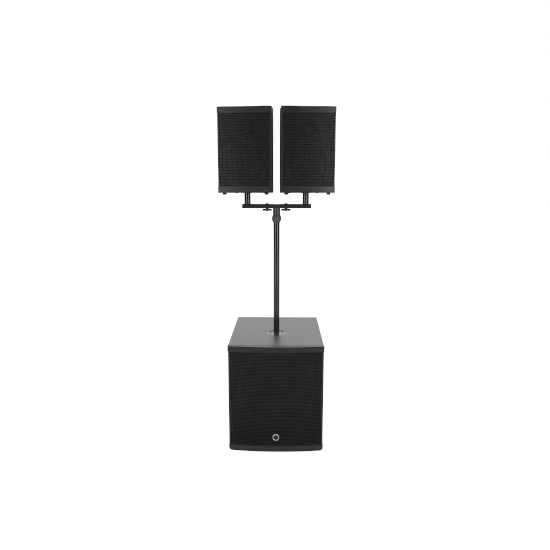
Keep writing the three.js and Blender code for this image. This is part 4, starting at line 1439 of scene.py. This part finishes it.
def board_lining(word, place):
    """Black felt on a top's front board, cut out round the horn and the woofer."""
    shut = Extent(f"top_{word}_grille", place)
    inner = Extent(f"top_{word}_cabinet", place).high.x - 16
    drivers = [Extent(f"top_{word}_{part}", place) for part in ("horn", "woofer_basket")]
    front = max(part.low.y for part in drivers)
    discs = []
    for part in drivers:
        wide = part.half.x + 0.6
        spot = at(part.centre.x, front, part.centre.z)
        discs.append(turned_y([(0, -5), (wide, -5), (wide, 5), (0, 5)], 72, place=spot))
    low, high = shut.low.z, shut.high.z
    outline = [(-inner, low), (inner, low), (inner, high), (-inner, high)]
    sheet = carved([frontal(outline, front + 3.3, front + 3.9)], discs)
    add_piece(f"top_{word}_lining", sheet, "surround_cloth", f"top_{word}", place=place)


def top(word):
    place = top_place(word)
    body = f"top_{word}"
    refined(f"{body}_cabinet", 1.4)
    refined(f"{body}_front", 1.4)
    grille(f"{body}_grille", TOP_BOW, 1.2, 12, place)
    grille_seals(body, 15, place)
    board_lining(word, place)
    driver(f"{body}_woofer", TOP_DRIVER, (body, f"{body}_cone"), place)
    horn(word, place)
    connector_plate(word, place)
    pole_cup(word, place)
    top_feet(word, place)


# ---------------------------------------------------------------- stage, in metres


def floor():
    """A wide pale floor. Most of what the camera sees of it is an even white, so that it meets the wall."""
    mesh = bpy.data.meshes.new("floor")
    mesh.from_pydata([(x, y, 0) for x, y in corners(40, 40)], [], [(0, 1, 2, 3)])
    made = Finish("studio_floor", specular=0.2)
    made.colour((1.5, 3), grey(0.495), grey(0.5))
    made.rough((3, 2), 0.6, 0.7)
    white = made.add("Emission", Strength=1.1)
    share = made.spread(made.add("LightPath").outputs["Is Camera Ray"], 0, 0.88, 0, 1)
    both = made.add("MixShader")
    made.wire(share, both.inputs["Fac"])
    made.wire(made.shader.outputs["BSDF"], both.inputs[1])
    made.wire(white.outputs["Emission"], both.inputs[2])
    made.wire(both.outputs["Shader"], made.tree.nodes["Material Output"].inputs["Surface"])
    mesh.materials.append(made.material)
    plane = linked("floor", mesh)


def studio_world():
    """A pale wall behind, bright above the horizon, and a dim room in front. The wall shows as white."""
    world = bpy.data.worlds.new("studio")
    bpy.context.scene.world = world
    world.use_nodes = True
    made = Nodes(world.node_tree)
    background = made.tree.nodes["Background"]
    background.inputs["Color"].default_value = (1, 1, 1, 1)
    split = made.add("SeparateXYZ")
    made.wire(made.add("TexCoord").outputs["Generated"], split.inputs["Vector"])
    behind = made.spread(split.outputs["Y"], 0.09, 2.1, -0.15, 0.6, "SMOOTHSTEP")
    above = made.spread(split.outputs["Z"], 0.03, 1.0, 0.1, 0.34, "SMOOTHSTEP")
    seen = made.add("Mix", B=1.0)
    made.wire(made.add("LightPath").outputs["Is Camera Ray"], seen.inputs["Factor"])
    made.wire(made.product(behind, above), seen.inputs["A"])
    made.wire(seen.outputs["Result"], background.inputs["Strength"])


def lamp(name, data, energy, location, target, colour=(1, 1, 1)):
    data.energy = energy
    data.color = colour
    made = linked(name, data)
    made.location = location
    made.rotation_euler = (Vector(target) - Vector(location)).to_track_quat("-Z", "Y").to_euler()


def panel(name, energy, location, target, colour, size):
    data = bpy.data.lights.new(name, "AREA")
    data.shape = "RECTANGLE"
    data.size, data.size_y = size
    lamp(name, data, energy, location, target, colour)


def lights():
    """A soft light overhead, and a tall soft panel on each side of the camera with a weaker one below it."""
    sun = bpy.data.lights.new("overhead", "SUN")
    sun.angle = radians(70)
    lamp("overhead", sun, 1.9, (0, 0.5, 6), (0, 0, 0))
    for word, energy, tint in (("left", 31.5, (0.93, 0.97, 1.0)), ("right", 37, (1.0, 1.0, 1.0))):
        x = SIDES[word] * 1.95
        panel(f"panel_{word}", energy, (x, -2.35, 1.85), (0, 0, 1.45), tint, (1.3, 1.3))
        panel(f"low_panel_{word}", 0.27 * energy, (x, -2.35, 0.75), (0, 0, 0.75), tint, (1.3, 0.9))


def camera():
    """Eye height a little above the tops' undersides, three metres in front, looking slightly down."""
    data = bpy.data.cameras.new("camera")
    data.sensor_width = 36
    data.lens = 32.73
    made = linked("camera", data)
    made.location = (0.0395, -3.0519, 1.5175)
    made.rotation_euler = (radians(90 - 9.58), 0, radians(0.933))
    bpy.context.scene.camera = made


# ---------------------------------------------------------------- assembly


def carried_over():
    """Gives each CAD node that still shows its finish."""
    for name, node in frame["nodes"].items():
        for material_slot in node.material_slots:
            material_slot.material = FINISHES[slot_of(name)]


bpy.context.scene.view_settings.view_transform = "Standard"
bpy.context.scene.cycles.pixel_filter_type = "BOX"
carried_over()
subwoofer()
tubes()
collar()
centre_bar()
for side_word in SIDES:
    arm(side_word)
    bolt(side_word)
    wing_nut(side_word)
for side_word in SIDES:
    top(side_word)
floor()
studio_world()
lights()
camera()
